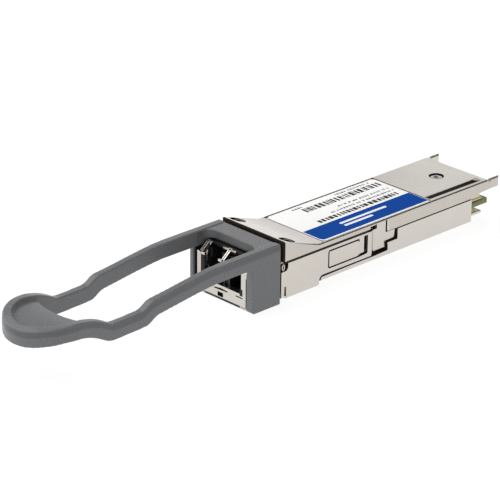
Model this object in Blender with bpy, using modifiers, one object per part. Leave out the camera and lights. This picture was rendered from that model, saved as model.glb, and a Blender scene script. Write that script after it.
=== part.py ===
"""Pluggable optical transceiver module with a pull-tab release.

Lengths below are millimetres in the module's own datum: X across the module,
Y from the front edge of the top cover towards the edge connector, Z up from
the flat top face. The datum empty then stands the module on its lowest face,
centred on the origin. The optical ports face -Y.
"""

import math

import bmesh
import bpy

MM = 0.001

# Body, a plain bar with a taller nose at the front.
BODY_WIDTH = 18.35
BODY_HEIGHT = 8.5
BODY_BOTTOM = -BODY_HEIGHT
HALF_WIDTH = BODY_WIDTH / 2
PLATE_REAR = 62.4
WING_REAR = 66.1
WING_DEPTH = 2.4
WALL = 0.9
NOSE_FRONT = -8.5
NOSE_TOP = 3.35
NOSE_BOTTOM = -9.7
NOSE_REAR = 10.5
NOSE_HALF_WIDTH = 6.95
NOSE_SHOULDER = -1.3
ROOF_FRONT = -6.1
ROOF_TOP = 0.65
RIB_HALF_WIDTH = 0.45
COVER_THICKNESS = 1.2
WING_THICKNESS = 0.8
POCKET_DEPTH = 0.7
REAR_BOSS_RADIUS = 2.3
REAR_POST_RADIUS = 1.7
LEDGE_INNER = 7.1
LIP_REAR = 61.9
LATCH_SLOT_DEPTH = 1.8
TRAY_HALF_WIDTH = 5.75
TRAY_FLOOR = -7.4
LATCH_WINDOW_FRONT = 25.4
RAMP_END = 10.3
SKIRT_FRONT = 30.8
SEAM_FRONT = -1.35
SEAM_REAR = -3.0
LOWER_REAR = 57.5
GAP = 0.3

# Pull tab, as wide as the body, with a half-round front end.
TAB_HALF_WIDTH = HALF_WIDTH
TAB_TOP = 2.95
TAB_HEIGHT = 3.05
TAB_WALL = 1.9
TAB_RING_CENTRE = -53.9
TAB_FRONT = TAB_RING_CENTRE - TAB_HALF_WIDTH
TAB_PROFILE = (
    (TAB_FRONT - 1.0, 0.85), (-60.0, 1.68), (-55.0, 2.05), (-53.2, 2.0), (-51.0, 1.6), (-49.0, 0.97),
    (-47.0, 0.05), (-45.7, -0.62), (-44.6, -0.7), (-39.0, -0.56), (-38.0, -0.42), (-36.9, 0.12),
    (-36.0, 0.68), (-35.1, 0.97), (-33.0, 1.2), (-20.2, 2.74), (-18.6, 2.86), (-10.5, TAB_TOP),
    (0.0, TAB_TOP),
)
TAB_UNDERSIDE = (
    (TAB_FRONT - 1.0, -2.2), (-60.0, -1.37), (-56.0, -0.84), (-54.0, -0.88), (-52.0, -1.24), (-50.0, -1.95),
    (-48.0, -2.98), (-46.9, -3.5), (-45.8, -3.72), (-38.2, -3.52), (-37.0, -3.4), (-36.0, -2.95),
    (-35.0, -2.31), (-34.0, -1.93), (-33.0, -1.8), (-20.0, -0.24), (-18.6, -0.15), (-13.0, -0.1), (0.0, -0.1),
)
PAD_RECESS = 0.7
PAD_THICKNESS = 1.5
PAD_EDGE_RADIUS = 14.6
PAD_EDGE_CENTRE = -38.4
TAB_EDGE_ROUNDING = 0.4
TONGUE_TOP = -3.3
TONGUE_BOTTOM = -8.9
TONGUE_DEPTH = 4.0
TONGUE_THICKNESS = 0.4
FRAME_FRONT = -8.75
FRAME_REAR = -0.85
FRAME_BOTTOM = -10.2
FRAME_BAR = 2.0
FRAME_WINDOW_REAR = -5.2
FRAME_WINDOW_RADIUS = 2.4
LEG_FILLET = 0.5
PAD_BAND_REAR = -44.0

# Latch slider, bent from one sheet.
SHEET = 0.5
SHEET_LAP = 0.1
SLIDER_FRONT = 0.5
SLIDER_ARM_TOP = SEAM_FRONT - GAP
SLIDER_ARM_BOTTOM = -7.25
SLIDER_BEND = 25.6
SLIDER_BEND_LENGTH = 1.3
SLIDER_TIP_INSET = 0.35
SLIDER_TIP_FRONT = 27.8
SLIDER_TIP_REAR = 30.5
SLIDER_TIP_TOP = -0.9
SLIDER_TIP_BOTTOM = -6.6
SLIDER_TONGUE_REAR = 33.4
SLIDER_TONGUE_TOP = -3.3
SLIDER_TONGUE_BOTTOM = -5.2
SLIDER_TRAVEL = 2.3
PANEL_FRONT = 13.0
PANEL_REAR = 21.4
PANEL_TOP = -2.9
PANEL_BOTTOM = -6.35
PANEL_DEPTH = 0.12
SPRING_SLOT_FRONT = 23.7
SPRING_SLOT_REAR = 24.6
SPRING_SLOT_BOTTOM = -6.2
SPRING_Z = -4.3
SPRING_X = 7.35
SPRING_RADIUS = 0.9
SPRING_FRONT = 13.6
SPRING_REAR = 22.8

# Edge connector card.
CARD_REAR = 64.0
CARD_FRONT = 27.0
CARD_WIDTH = 16.42
CARD_TOP = -4.9
CARD_THICKNESS = 1.0
CONTACT_PITCH = 0.8
CONTACT_COUNT = 19
CONTACT_WIDTH = 0.56
CONTACT_THICKNESS = 0.05

# Ports for two fibre plugs.
PORT_PITCH = 6.25
PORT_WIDTH = 4.7
PORT_TOP = -2.3
PORT_BOTTOM = -7.5
PORT_DEPTH = 10.0
INSERT_FRONT = -7.0
INSERT_REAR = 6.5
INSERT_HALF_WIDTH = 5.7
INSERT_TOP = -0.3
INSERT_BOTTOM = -8.1
OPTICAL_AXIS_Z = -4.6
SLEEVE_BORE_RADIUS = 1.75
SLEEVE_RADIUS = 1.1
FERRULE_RADIUS = 0.66

# Cover screws, centre (x, y) and height of the surface that each one enters.
SCREW_PLACES = {
    "cover_screw_left": (-7.2, 2.7, 2.4),
    "cover_screw_right": (7.2, 2.7, 2.4),
    "cover_screw_rear": (0.0, 55.8, 0.0),
}
COUNTERBORE_RADIUS = 1.7
SCREW_HEAD_RADIUS = 1.35
SCREW_HEAD_HEIGHT = 0.7
SCREW_SHANK_RADIUS = 0.6
SCREW_SHANK_LENGTH = 5.6
SCREW_HOLE_RADIUS = 0.9
SCREW_SEAT_DEPTH = 1.2

# Chips on the board: near corner (x, y), size (width, length), height.
CHIPS = {
    "laser_driver_chip": ((-4.8, 33.0), (4.0, 4.0), 0.9),
    "receiver_chip": ((0.8, 33.0), (4.0, 4.0), 0.9),
    "controller_chip": ((-6.0, 41.0), (5.0, 5.0), 0.9),
    "power_chip": ((2.0, 40.5), (3.0, 3.0), 0.8),
    "clock_chip": ((2.2, 46.5), (2.5, 2.0), 0.7),
}

LABEL_FRONT = 12.0
LABEL_REAR = 44.3
LABEL_HALF_WIDTH = 8.3
LABEL_BED_DEPTH = 0.2

DATUM_Y = -(TAB_FRONT + WING_REAR) / 2
DATUM_Z = -FRAME_BOTTOM

ROUND = 32


def clear_scene():
    for obj in list(bpy.data.objects):
        bpy.data.objects.remove(obj, do_unlink=True)


def new_collection(name):
    collection = bpy.data.collections.new(name)
    bpy.context.scene.collection.children.link(collection)
    return collection


def new_empty(name, location, parent=None):
    empty = bpy.data.objects.new(name, None)
    empty.location = location
    empty.parent = parent
    PARTS.objects.link(empty)
    return empty


def material(name, colour, roughness, metallic):
    """A Principled material; colour is linear RGB."""
    made = bpy.data.materials.new(name)
    made.use_nodes = True
    shader = made.node_tree.nodes["Principled BSDF"]
    shader.inputs["Base Color"].default_value = (*colour, 1.0)
    shader.inputs["Roughness"].default_value = roughness
    shader.inputs["Metallic"].default_value = metallic
    made.diffuse_color = (*colour, 1.0)
    return made


def add_object(name, mesh, surface, parent, centre=(0, 0, 0)):
    obj = bpy.data.objects.new(name, mesh)
    obj.location = [value * MM for value in centre]
    obj.parent = parent
    if surface is None:
        CUTTERS.objects.link(obj)
        obj.hide_render = True
        obj.display_type = "WIRE"
    else:
        mesh.materials.append(surface)
        PARTS.objects.link(obj)
    return obj


def box(name, low, high, surface=None, parent=None):
    """An axis-aligned block between two corners, with its origin at its centre."""
    mesh = bpy.data.meshes.new(name)
    shape = bmesh.new()
    bmesh.ops.create_cube(shape, size=1.0)
    sides = [(b - a) * MM for a, b in zip(low, high)]
    bmesh.ops.scale(shape, vec=sides, verts=shape.verts)
    shape.to_mesh(mesh)
    shape.free()
    centre = [(a + b) / 2 for a, b in zip(low, high)]
    return add_object(name, mesh, surface, parent or DATUM, centre)


def rod(name, centre, radius, length, axis, surface=None, parent=None, sides=ROUND):
    """A cylinder of this length along axis, with its origin at its centre."""
    mesh = bpy.data.meshes.new(name)
    shape = bmesh.new()
    bmesh.ops.create_cone(
        shape, cap_ends=True, segments=sides,
        radius1=radius * MM, radius2=radius * MM, depth=length * MM,
    )
    shape.to_mesh(mesh)
    shape.free()
    mesh.shade_smooth()
    mesh.set_sharp_from_angle(angle=math.radians(40))
    obj = add_object(name, mesh, surface, parent or DATUM, centre)
    if axis == "X":
        obj.rotation_euler = (0, math.pi / 2, 0)
    elif axis == "Y":
        obj.rotation_euler = (math.pi / 2, 0, 0)
    return obj


def mesh_of(name, sketch, surface, parent):
    """Turns a curve drawn in millimetres into a closed mesh object, and removes the curve."""
    graph = bpy.context.evaluated_depsgraph_get()
    mesh = bpy.data.meshes.new_from_object(sketch.evaluated_get(graph))
    mesh.name = name
    curve = sketch.data
    bpy.data.objects.remove(sketch)
    bpy.data.curves.remove(curve)
    mesh.materials.clear()
    shape = bmesh.new()
    shape.from_mesh(mesh)
    bmesh.ops.remove_doubles(shape, verts=shape.verts, dist=1e-4)
    bmesh.ops.recalc_face_normals(shape, faces=shape.faces)
    bmesh.ops.scale(shape, vec=(MM, MM, MM), verts=shape.verts)
    shape.to_mesh(mesh)
    shape.free()
    return add_object(name, mesh, surface, parent or DATUM)


def prism(name, points, plane, low, high, surface=None, parent=None):
    """A flat outline of (a, b) points, extruded from low to high along the third axis.

    plane is "XY" (extruded along Z), "YZ" (along X) or "XZ" (along Y).
    """
    curve = bpy.data.curves.new(name, "CURVE")
    curve.dimensions = "2D"
    curve.fill_mode = "BOTH"
    curve.extrude = (high - low) / 2
    line = curve.splines.new("POLY")
    line.points.add(len(points) - 1)
    for point, (a, b) in zip(line.points, points):
        point.co = (a, b, 0, 1)
    line.use_cyclic_u = True
    sketch = bpy.data.objects.new(name, curve)
    bpy.context.scene.collection.objects.link(sketch)
    obj = mesh_of(name, sketch, surface, parent)
    middle = (low + high) / 2
    if plane == "XY":
        obj.location = (0, 0, middle * MM)
    elif plane == "YZ":
        obj.rotation_euler = (math.pi / 2, 0, math.pi / 2)
        obj.location = (middle * MM, 0, 0)
    else:
        obj.rotation_euler = (math.pi / 2, 0, 0)
        obj.location = (0, middle * MM, 0)
    return obj


def sweep(name, path, width, height, rounding, surface=None, parent=None):
    """A rounded rectangle, upright, carried along a path of (x, y, z) points."""
    profile = bpy.data.curves.new(f"{name}_profile", "CURVE")
    profile.dimensions = "2D"
    section = profile.splines.new("POLY")
    a = width / 2 - rounding
    b = height / 2 - rounding
    corners = []
    for centre, start in (((a, b), 0), ((-a, b), 90), ((-a, -b), 180), ((a, -b), 270)):
        corners += arc(centre, rounding, start, start + 90, 3)
    section.points.add(len(corners) - 1)
    for point, (u, v) in zip(section.points, corners):
        point.co = (u, v, 0, 1)
    section.use_cyclic_u = True
    profile_object = bpy.data.objects.new(f"{name}_profile", profile)
    bpy.context.scene.collection.objects.link(profile_object)

    curve = bpy.data.curves.new(name, "CURVE")
    curve.dimensions = "3D"
    curve.twist_mode = "Z_UP"
    curve.bevel_mode = "OBJECT"
    curve.bevel_object = profile_object
    curve.use_fill_caps = True
    line = curve.splines.new("POLY")
    line.points.add(len(path) - 1)
    for point, place in zip(line.points, path):
        point.co = (*place, 1)
    sketch = bpy.data.objects.new(name, curve)
    bpy.context.scene.collection.objects.link(sketch)
    obj = mesh_of(name, sketch, surface, parent)
    bpy.data.objects.remove(profile_object)
    bpy.data.curves.remove(profile)
    return obj


def combine(target, other, operation, solver="EXACT"):
    """Cut, join or intersect target with a helper object, through a Boolean modifier."""
    modifier = target.modifiers.new(other.name, "BOOLEAN")
    modifier.operation = operation
    modifier.solver = solver
    modifier.object = other
    return target


def cut(target, *tools):
    for tool in tools:
        combine(target, tool, "DIFFERENCE")
    return target


def join(target, *tools):
    for tool in tools:
        combine(target, tool, "UNION")
    return target


def round_edges(target, width, segments=2, angle=30):
    bevel = target.modifiers.new("rounded_edges", "BEVEL")
    bevel.width = width * MM
    bevel.segments = segments
    bevel.limit_method = "ANGLE"
    bevel.angle_limit = math.radians(angle)
    return target


def arc(centre, radius, start, end, steps):
    """Points round an arc, angles in degrees."""
    angles = [math.radians(start + (end - start) * i / steps) for i in range(steps + 1)]
    return [(centre[0] + radius * math.cos(a), centre[1] + radius * math.sin(a)) for a in angles]


def smooth_height(stations, y):
    """Height at y of a smooth curve through the stations, with no overshoot between them."""
    slopes = []
    for i in range(len(stations)):
        if i in (0, len(stations) - 1):
            slopes.append(0.0)
            continue
        before = (stations[i][1] - stations[i - 1][1]) / (stations[i][0] - stations[i - 1][0])
        after = (stations[i + 1][1] - stations[i][1]) / (stations[i + 1][0] - stations[i][0])
        slopes.append(0.0 if before * after <= 0 else 2 * before * after / (before + after))
    for i in range(len(stations) - 1):
        (y0, z0), (y1, z1) = stations[i], stations[i + 1]
        if y <= y1 or i == len(stations) - 2:
            span = y1 - y0
            t = min(max((y - y0) / span, 0.0), 1.0)
            start = (1 + 2 * t) * (1 - t) ** 2 * z0 + t * (1 - t) ** 2 * span * slopes[i]
            return start + t * t * (3 - 2 * t) * z1 + t * t * (t - 1) * span * slopes[i + 1]
    return stations[-1][1]


def tab_band(name, drop, thickness, front, rear, surface=None, parent=None):
    """The tab's side profile as a full-width band, drop below its top line."""
    steps = 44
    ys = [front + (rear - front) * i / steps for i in range(steps + 1)]
    top = [(y, smooth_height(TAB_PROFILE, y) - drop) for y in ys]
    bottom = [(y, z - thickness) for y, z in reversed(top)]
    edge = TAB_HALF_WIDTH + 1.0
    return prism(name, top + bottom, "YZ", -edge, edge, surface, parent)


def build_pull_tab(surface):
    """Frame round the nose, two arms, and a finger ring with a recessed pad."""
    outer = TAB_HALF_WIDTH
    inner = outer - TAB_WALL
    low = FRAME_BOTTOM - 5
    high = NOSE_TOP + 5

    middle = outer - TAB_WALL / 2
    arm_end = FRAME_FRONT + 1.0
    stations = 40
    ys = [arm_end + (TAB_RING_CENTRE - arm_end) * i / stations for i in range(stations)]
    line = [(middle, y) for y in ys]
    line += arc((0, TAB_RING_CENTRE), middle, 0, -180, 32)
    line += [(-middle, y) for y in reversed(ys)]
    path = [(x, y, TAB_HEIGHT / 2) for x, y in line]
    tab = sweep("pull_tab", path, TAB_WALL, TAB_HEIGHT, TAB_EDGE_ROUNDING, surface, RELEASE)
    for vert in tab.data.vertices:
        over = smooth_height(TAB_PROFILE, vert.co.y / MM)
        under = smooth_height(TAB_UNDERSIDE, vert.co.y / MM)
        vert.co.z = under * MM + vert.co.z / TAB_HEIGHT * (over - under)

    leg_top = TAB_TOP - TAB_HEIGHT
    leg_side = [
        (FRAME_REAR, FRAME_BOTTOM), (FRAME_REAR, TAB_TOP), (FRAME_FRONT - LEG_FILLET, TAB_TOP),
        (FRAME_FRONT - LEG_FILLET, leg_top + 0.2),
    ]
    leg_side += arc((FRAME_FRONT - LEG_FILLET, leg_top - LEG_FILLET), LEG_FILLET, 90, 0, 5)
    leg_side += [(FRAME_FRONT, FRAME_BOTTOM)]
    for side in (-1, 1):
        near, far = sorted((side * inner, side * outer))
        leg = prism(f"leg_{side}", leg_side, "YZ", near, far)
        join(tab, round_edges(leg, TAB_EDGE_ROUNDING))

    bar_front = FRAME_WINDOW_REAR - 3.5
    bar = box("frame_bar", (-outer + 0.5, bar_front, TAB_TOP - FRAME_BAR), (outer - 0.5, FRAME_REAR, TAB_TOP))
    corner = inner - FRAME_WINDOW_RADIUS
    centre_y = FRAME_WINDOW_REAR - FRAME_WINDOW_RADIUS
    window = [(inner, bar_front - 1.0)]
    window += arc((corner, centre_y), FRAME_WINDOW_RADIUS, 0, 90, 6)
    window += arc((-corner, centre_y), FRAME_WINDOW_RADIUS, 90, 180, 6)
    window += [(-inner, bar_front - 1.0)]
    cut(bar, prism("frame_window", window, "XY", low, high))
    join(tab, bar)

    reach = inner + 0.4
    edge_angle = math.degrees(math.asin(reach / PAD_EDGE_RADIUS))
    pad_plan = arc((0, PAD_EDGE_CENTRE), PAD_EDGE_RADIUS, -90 - edge_angle, -90 + edge_angle, 12)
    pad_plan += arc((0, TAB_RING_CENTRE), reach, 0, -180, 24)
    pad = tab_band("pad_band", PAD_RECESS, PAD_THICKNESS, TAB_FRONT - 0.5, PAD_BAND_REAR)
    combine(pad, prism("pad_plan", pad_plan, "XY", low, high), "INTERSECT")
    join(tab, pad)

    room = TONGUE_THICKNESS / 2 + GAP
    for side in (-1, 1):
        middle = side * (outer - TAB_WALL / 2)
        cut(tab, box(
            f"tongue_slot_{side}",
            (middle - room, FRAME_REAR - TONGUE_DEPTH - GAP, TONGUE_BOTTOM - GAP),
            (middle + room, FRAME_REAR + 1, TONGUE_TOP + GAP),
        ))
    return tab


def slider_arm_outline(grow=0.0):
    """Side view of one arm's outer plate, from the nose cheek to its bend, grown by a gap."""
    top = SLIDER_ARM_TOP + grow
    bottom = SLIDER_ARM_BOTTOM - grow
    fillet = 1.1 - grow
    outline = [
        (SLIDER_FRONT - grow, top), (SLIDER_FRONT - grow, NOSE_BOTTOM - grow),
        (NOSE_REAR + grow, NOSE_BOTTOM - grow),
    ]
    outline += arc((NOSE_REAR + grow + fillet, bottom - fillet), fillet, 180, 90, 4)
    rear = SLIDER_BEND + SLIDER_BEND_LENGTH + grow
    return outline + [(rear, bottom), (rear, top)]


def slider_tip_outline(grow=0.0):
    """Side view of the T shaped tip behind the bend, grown by a gap."""
    front = SLIDER_BEND - grow
    step = SLIDER_TIP_FRONT - grow
    step_z = SLIDER_ARM_TOP - SHEET_LAP + grow
    rear = SLIDER_TIP_REAR + grow
    tongue = SLIDER_TONGUE_REAR + grow
    return [
        (front, step_z), (front, SLIDER_TIP_BOTTOM - grow),
        (rear, SLIDER_TIP_BOTTOM - grow), (rear, SLIDER_TONGUE_BOTTOM - grow),
        (tongue, SLIDER_TONGUE_BOTTOM - grow), (tongue, SLIDER_TONGUE_TOP + grow),
        (rear, SLIDER_TONGUE_TOP + grow), (rear, SLIDER_TIP_TOP + grow),
        (step, SLIDER_TIP_TOP + grow), (step, step_z),
    ]


def build_latch_slider(surface):
    """One stamped U: bridge under the nose, an arm down each side, and spring tabs bent inwards."""
    outer = HALF_WIDTH
    bridge_front = SLIDER_FRONT + 0.6
    lap = SHEET_LAP
    slider = box(
        "latch_slider", (lap - outer, bridge_front, NOSE_BOTTOM + lap / 4),
        (outer - lap, NOSE_REAR - lap, NOSE_BOTTOM + SHEET), surface, RELEASE,
    )
    for side in (-1, 1):
        face = side * outer
        back = side * (outer - SHEET)
        inset = side * SLIDER_TIP_INSET
        arm = prism(f"slider_arm_{side}", slider_arm_outline(), "YZ", *sorted((face, back)))
        cut(arm, box(
            f"spring_slot_{side}", (face - 1.2, SPRING_SLOT_FRONT, SPRING_SLOT_BOTTOM),
            (face + 1.2, SPRING_SLOT_REAR, SLIDER_ARM_TOP - 0.3),
        ))
        near, far = sorted((face - side * PANEL_DEPTH, face + side))
        cut(arm, box(
            f"arm_panel_{side}", (near, PANEL_FRONT, PANEL_BOTTOM), (far, PANEL_REAR, PANEL_TOP),
        ))
        tip = prism(f"slider_tip_{side}", slider_tip_outline(), "YZ", *sorted((face - inset, back - inset)))
        sheet_middle = side * (outer - SHEET / 2)
        near, far = sorted((sheet_middle, side * (SPRING_X - 0.7)))
        seat = box(
            f"spring_tab_{side}", (near, SPRING_REAR + GAP, SPRING_Z - 1.0),
            (far, SPRING_REAR + GAP + SHEET, SPRING_Z + 1.0),
        )
        middle = side * (outer - TAB_WALL / 2)
        half = TONGUE_THICKNESS / 2
        knee_rear = SLIDER_FRONT + SHEET
        tongue = box(
            f"front_tongue_{side}", (middle - half, FRAME_REAR - TONGUE_DEPTH, TONGUE_BOTTOM),
            (middle + half, knee_rear, TONGUE_TOP),
        )
        near, far = sorted((middle - side * half, sheet_middle))
        knee = box(
            f"front_knee_{side}", (near, SLIDER_FRONT + lap, TONGUE_BOTTOM + lap),
            (far, knee_rear + lap, TONGUE_TOP - lap),
        )
        join(slider, arm, tip, seat, tongue, knee)
    return slider


def build_upper_housing(surface):
    """Top shell: ramped nose, flat cover, side skirts behind the latch, and two rear wings."""
    side_view = [
        (0.0, SEAM_FRONT), (0.0, NOSE_TOP), (RAMP_END, 0.0), (PLATE_REAR, 0.0), (PLATE_REAR, SEAM_REAR),
        (SKIRT_FRONT, SEAM_REAR), (SKIRT_FRONT, SEAM_FRONT),
    ]
    shell = prism("upper_housing", side_view, "YZ", -HALF_WIDTH, HALF_WIDTH, surface)
    below = SEAM_REAR - 1
    half = HALF_WIDTH - WALL
    cut(shell, box("cover_hollow_front", (-7.0, RAMP_END + 1.0, below), (7.0, 31.5, -COVER_THICKNESS)))
    cut(shell, box("cover_hollow_rear", (-half, 31.4, below), (half, PLATE_REAR + 1, -COVER_THICKNESS)))
    room = INSERT_HALF_WIDTH + GAP
    cut(shell, box("nose_hollow", (-room, -1, below), (room, INSERT_REAR + 0.5, 0.0)))
    join(shell, box("nose_roof", (-room + GAP, ROOF_FRONT, 0.02), (room - GAP, 1.0, ROOF_TOP)))

    rib_tip = NOSE_SHOULDER - 0.6
    rib = [
        (ROOF_FRONT + 0.5, ROOF_TOP), (ROOF_FRONT, ROOF_TOP), (NOSE_FRONT, NOSE_SHOULDER),
        (NOSE_FRONT, rib_tip), (NOSE_FRONT + 0.6, rib_tip), (ROOF_FRONT + 0.5, 0.1),
    ]
    join(shell, prism("port_rib", rib, "YZ", -RIB_HALF_WIDTH, RIB_HALF_WIDTH))
    join(shell, box(
        "port_rib_head", (-1.9, ROOF_FRONT - 0.35, 0.12), (1.9, ROOF_FRONT + 0.3, ROOF_TOP - 0.02),
    ))
    boss_y = SCREW_PLACES["cover_screw_rear"][1]
    join(shell, rod("rear_boss", (0, boss_y, -2.0), REAR_BOSS_RADIUS, 2.0, "Z"))

    skirt_end = PLATE_REAR - 2.6
    for side in (-1, 1):
        face = side * HALF_WIDTH
        wing = [
            (PLATE_REAR - 3.0, 0.0), (PLATE_REAR + 0.1, 0.0), (PLATE_REAR + 0.1, -0.6),
            (PLATE_REAR + 0.9, -0.6), (PLATE_REAR + 0.9, 0.0), (WING_REAR, 0.0),
            (WING_REAR, -WING_DEPTH), (skirt_end, -WING_DEPTH), (PLATE_REAR - 3.0, -2.0),
        ]
        near, far = sorted((face, face - side * WING_THICKNESS))
        join(shell, prism(f"wing_{side}", wing, "YZ", near, far))
        cut(shell, box(
            f"skirt_relief_{side}", (face - 1.2, skirt_end, below), (face + 1.2, PLATE_REAR + 1, -WING_DEPTH),
        ))
        cut(shell, box(
            f"latch_window_{side}", (face - 1.2, LATCH_WINDOW_FRONT, below),
            (face + 1.2, SKIRT_FRONT, SLIDER_TIP_TOP + GAP),
        ))
    cut(shell, box("long_pocket", (6.45, 44.9, -POCKET_DEPTH), (8.1, 61.2, 1.0)))
    margin = LABEL_HALF_WIDTH + 0.15
    cut(shell, box(
        "label_bed", (-margin, LABEL_FRONT - 0.15, -LABEL_BED_DEPTH), (margin, LABEL_REAR + 0.15, 1.0),
    ))
    for name, (x, y, top) in SCREW_PLACES.items():
        counterbore_height = 5.6
        centre = top - SCREW_SEAT_DEPTH + counterbore_height / 2
        cut(shell, rod(f"{name}_counterbore", (x, y, centre), COUNTERBORE_RADIUS, counterbore_height, "Z"))
        cut(shell, rod(f"{name}_hole", (x, y, 0), SCREW_HOLE_RADIUS, 24, "Z", sides=20))
    return shell


def build_lower_housing(surface):
    """Bottom shell: open tray with side walls, the nose floor and front, and a rear lip."""
    outer = HALF_WIDTH
    half = outer - WALL
    above = 3.0
    body = box("lower_housing", (-outer, 8.0, BODY_BOTTOM), (outer, LOWER_REAR, SEAM_REAR - GAP), surface)
    join(body, box(
        "lower_shoulders", (-outer, 0.2, BODY_BOTTOM), (outer, SKIRT_FRONT - GAP, SLIDER_ARM_TOP),
    ))
    bridge_room = NOSE_BOTTOM + SHEET + GAP
    bridge_stop = -SLIDER_TRAVEL + 0.75
    nose = [
        (NOSE_FRONT, NOSE_BOTTOM), (NOSE_FRONT, NOSE_SHOULDER), (ROOF_FRONT, ROOF_TOP), (-GAP, ROOF_TOP),
        (-GAP, SLIDER_ARM_TOP), (SLIDER_FRONT, SLIDER_ARM_TOP), (SLIDER_FRONT, -8.0),
        (NOSE_REAR - 0.8, -8.0), (NOSE_REAR - 0.8, bridge_room),
        (bridge_stop, bridge_room), (bridge_stop, NOSE_BOTTOM),
    ]
    join(body, prism("lower_nose", nose, "YZ", -NOSE_HALF_WIDTH, NOSE_HALF_WIDTH))
    join(body, box("rear_lip", (-8.0, LOWER_REAR - 1, -8.0), (8.0, LIP_REAR, -7.2)))

    cut(body, box("tray_front", (-TRAY_HALF_WIDTH, 7.0, TRAY_FLOOR), (TRAY_HALF_WIDTH, 35.0, above)))
    cut(body, box("tray_rear", (-half, 34.6, TRAY_FLOOR), (half, LOWER_REAR + 1, above)))
    room = INSERT_HALF_WIDTH + GAP
    cut(body, box(
        "insert_room", (-room, INSERT_FRONT - GAP, INSERT_BOTTOM - GAP), (room, INSERT_REAR + 1, above),
    ))
    cut(body, box("port_mouth", (-5.4, NOSE_FRONT - 1, -6.9), (5.4, INSERT_FRONT, above)))

    for side in (-1, 1):
        beyond = side * (outer + 1)
        near, far = sorted((beyond, side * (outer - SHEET - GAP)))
        cut(body, prism(f"arm_channel_{side}", slider_arm_outline(GAP), "YZ", near, far))
        cut(body, box(f"cheek_channel_{side}", (near, -1, -12), (far, NOSE_REAR, above)))
        near, far = sorted((beyond, side * (outer - (TAB_WALL + TONGUE_THICKNESS) / 2 - GAP)))
        cut(body, box(
            f"knee_channel_{side}", (near, -1, TONGUE_BOTTOM - GAP),
            (far, SLIDER_FRONT + SHEET + SHEET_LAP + GAP, above),
        ))
        near, far = sorted((beyond, side * (outer - SHEET - SLIDER_TIP_INSET - GAP)))
        cut(body, prism(f"tip_channel_{side}", slider_tip_outline(GAP), "YZ", near, far))
        cut(body, box(
            f"tip_run_{side}", (near, SLIDER_BEND - SLIDER_TRAVEL - GAP, SLIDER_TIP_BOTTOM - GAP),
            (far, SLIDER_TIP_REAR, above),
        ))
        near, far = sorted((beyond, side * (outer - LATCH_SLOT_DEPTH)))
        cut(body, box(
            f"latch_slot_{side}", (near, SLIDER_BEND + 0.6, -7.4), (far, SLIDER_TIP_REAR + 0.4, -6.1),
        ))
        near, far = sorted((beyond, side * (SPRING_X - SPRING_RADIUS - 0.2)))
        cut(body, box(
            f"spring_pocket_{side}", (near, SPRING_FRONT - GAP, SPRING_Z - 1.3),
            (far, SPRING_REAR + 1.2, above),
        ))
        near, far = sorted((side * LEDGE_INNER, side * (half + 0.2)))
        join(body, box(
            f"board_ledge_{side}", (near, 37.0, TRAY_FLOOR - 0.2),
            (far, LOWER_REAR, CARD_TOP - CARD_THICKNESS - GAP),
        ))

    x, y, _ = SCREW_PLACES["cover_screw_rear"]
    join(body, rod("rear_post", (x, y, -5.8), REAR_POST_RADIUS, 4.9, "Z"))
    for name, (x, y, _) in SCREW_PLACES.items():
        cut(body, rod(f"{name}_bore", (x, y, -2.0), SCREW_HOLE_RADIUS, 11.0, "Z", sides=20))
    for index, (x, half) in enumerate(((-5.0, 1.0), (-0.4, 2.0), (5.0, 1.0))):
        cut(body, box(
            f"front_slot_{index}", (x - half, NOSE_FRONT - 1, -7.75), (x + half, NOSE_FRONT + 0.8, -7.5),
        ))
    cut(body, box("front_notch", (-1.35, NOSE_FRONT - 1, -9.3), (0.3, NOSE_FRONT + 0.8, -8.3)))
    rebate = NOSE_BOTTOM + 0.22
    cut(body, box("front_rebate", (-5.2, NOSE_FRONT - 1, NOSE_BOTTOM - 1), (5.2, NOSE_FRONT + 0.4, rebate)))
    return body


def build_port_insert(surface):
    """Moulded receptacle for two fibre plugs, with a latch keyway above each port."""
    insert = box(
        "port_insert", (-INSERT_HALF_WIDTH, INSERT_FRONT, INSERT_BOTTOM),
        (INSERT_HALF_WIDTH, INSERT_REAR, INSERT_TOP), surface,
    )
    half = PORT_WIDTH / 2
    front = INSERT_FRONT - 1
    roof_cut = PORT_TOP - 0.5
    for side in (-1, 1):
        x = side * PORT_PITCH / 2
        cut(insert, box(
            f"port_{side}", (x - half, front, PORT_BOTTOM), (x + half, INSERT_FRONT + PORT_DEPTH, PORT_TOP),
        ))
        cut(insert, box(f"keyway_{side}", (x - 1.5, front, roof_cut), (x + 1.5, INSERT_FRONT + 7.0, 1)))
        cut(insert, box(
            f"latch_pocket_{side}", (x - half, INSERT_FRONT + 2.2, roof_cut),
            (x + half, INSERT_FRONT + 5.2, INSERT_TOP - 0.6),
        ))
        cut(insert, rod(
            f"sleeve_bore_{side}", (x, INSERT_REAR - 3, OPTICAL_AXIS_Z), SLEEVE_BORE_RADIUS, 12, "Y",
        ))
    width = RIB_HALF_WIDTH + GAP
    cut(insert, box("rib_clearance", (-width, front, NOSE_SHOULDER - GAP), (width, ROOF_FRONT + 0.9, 1)))
    return insert


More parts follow.
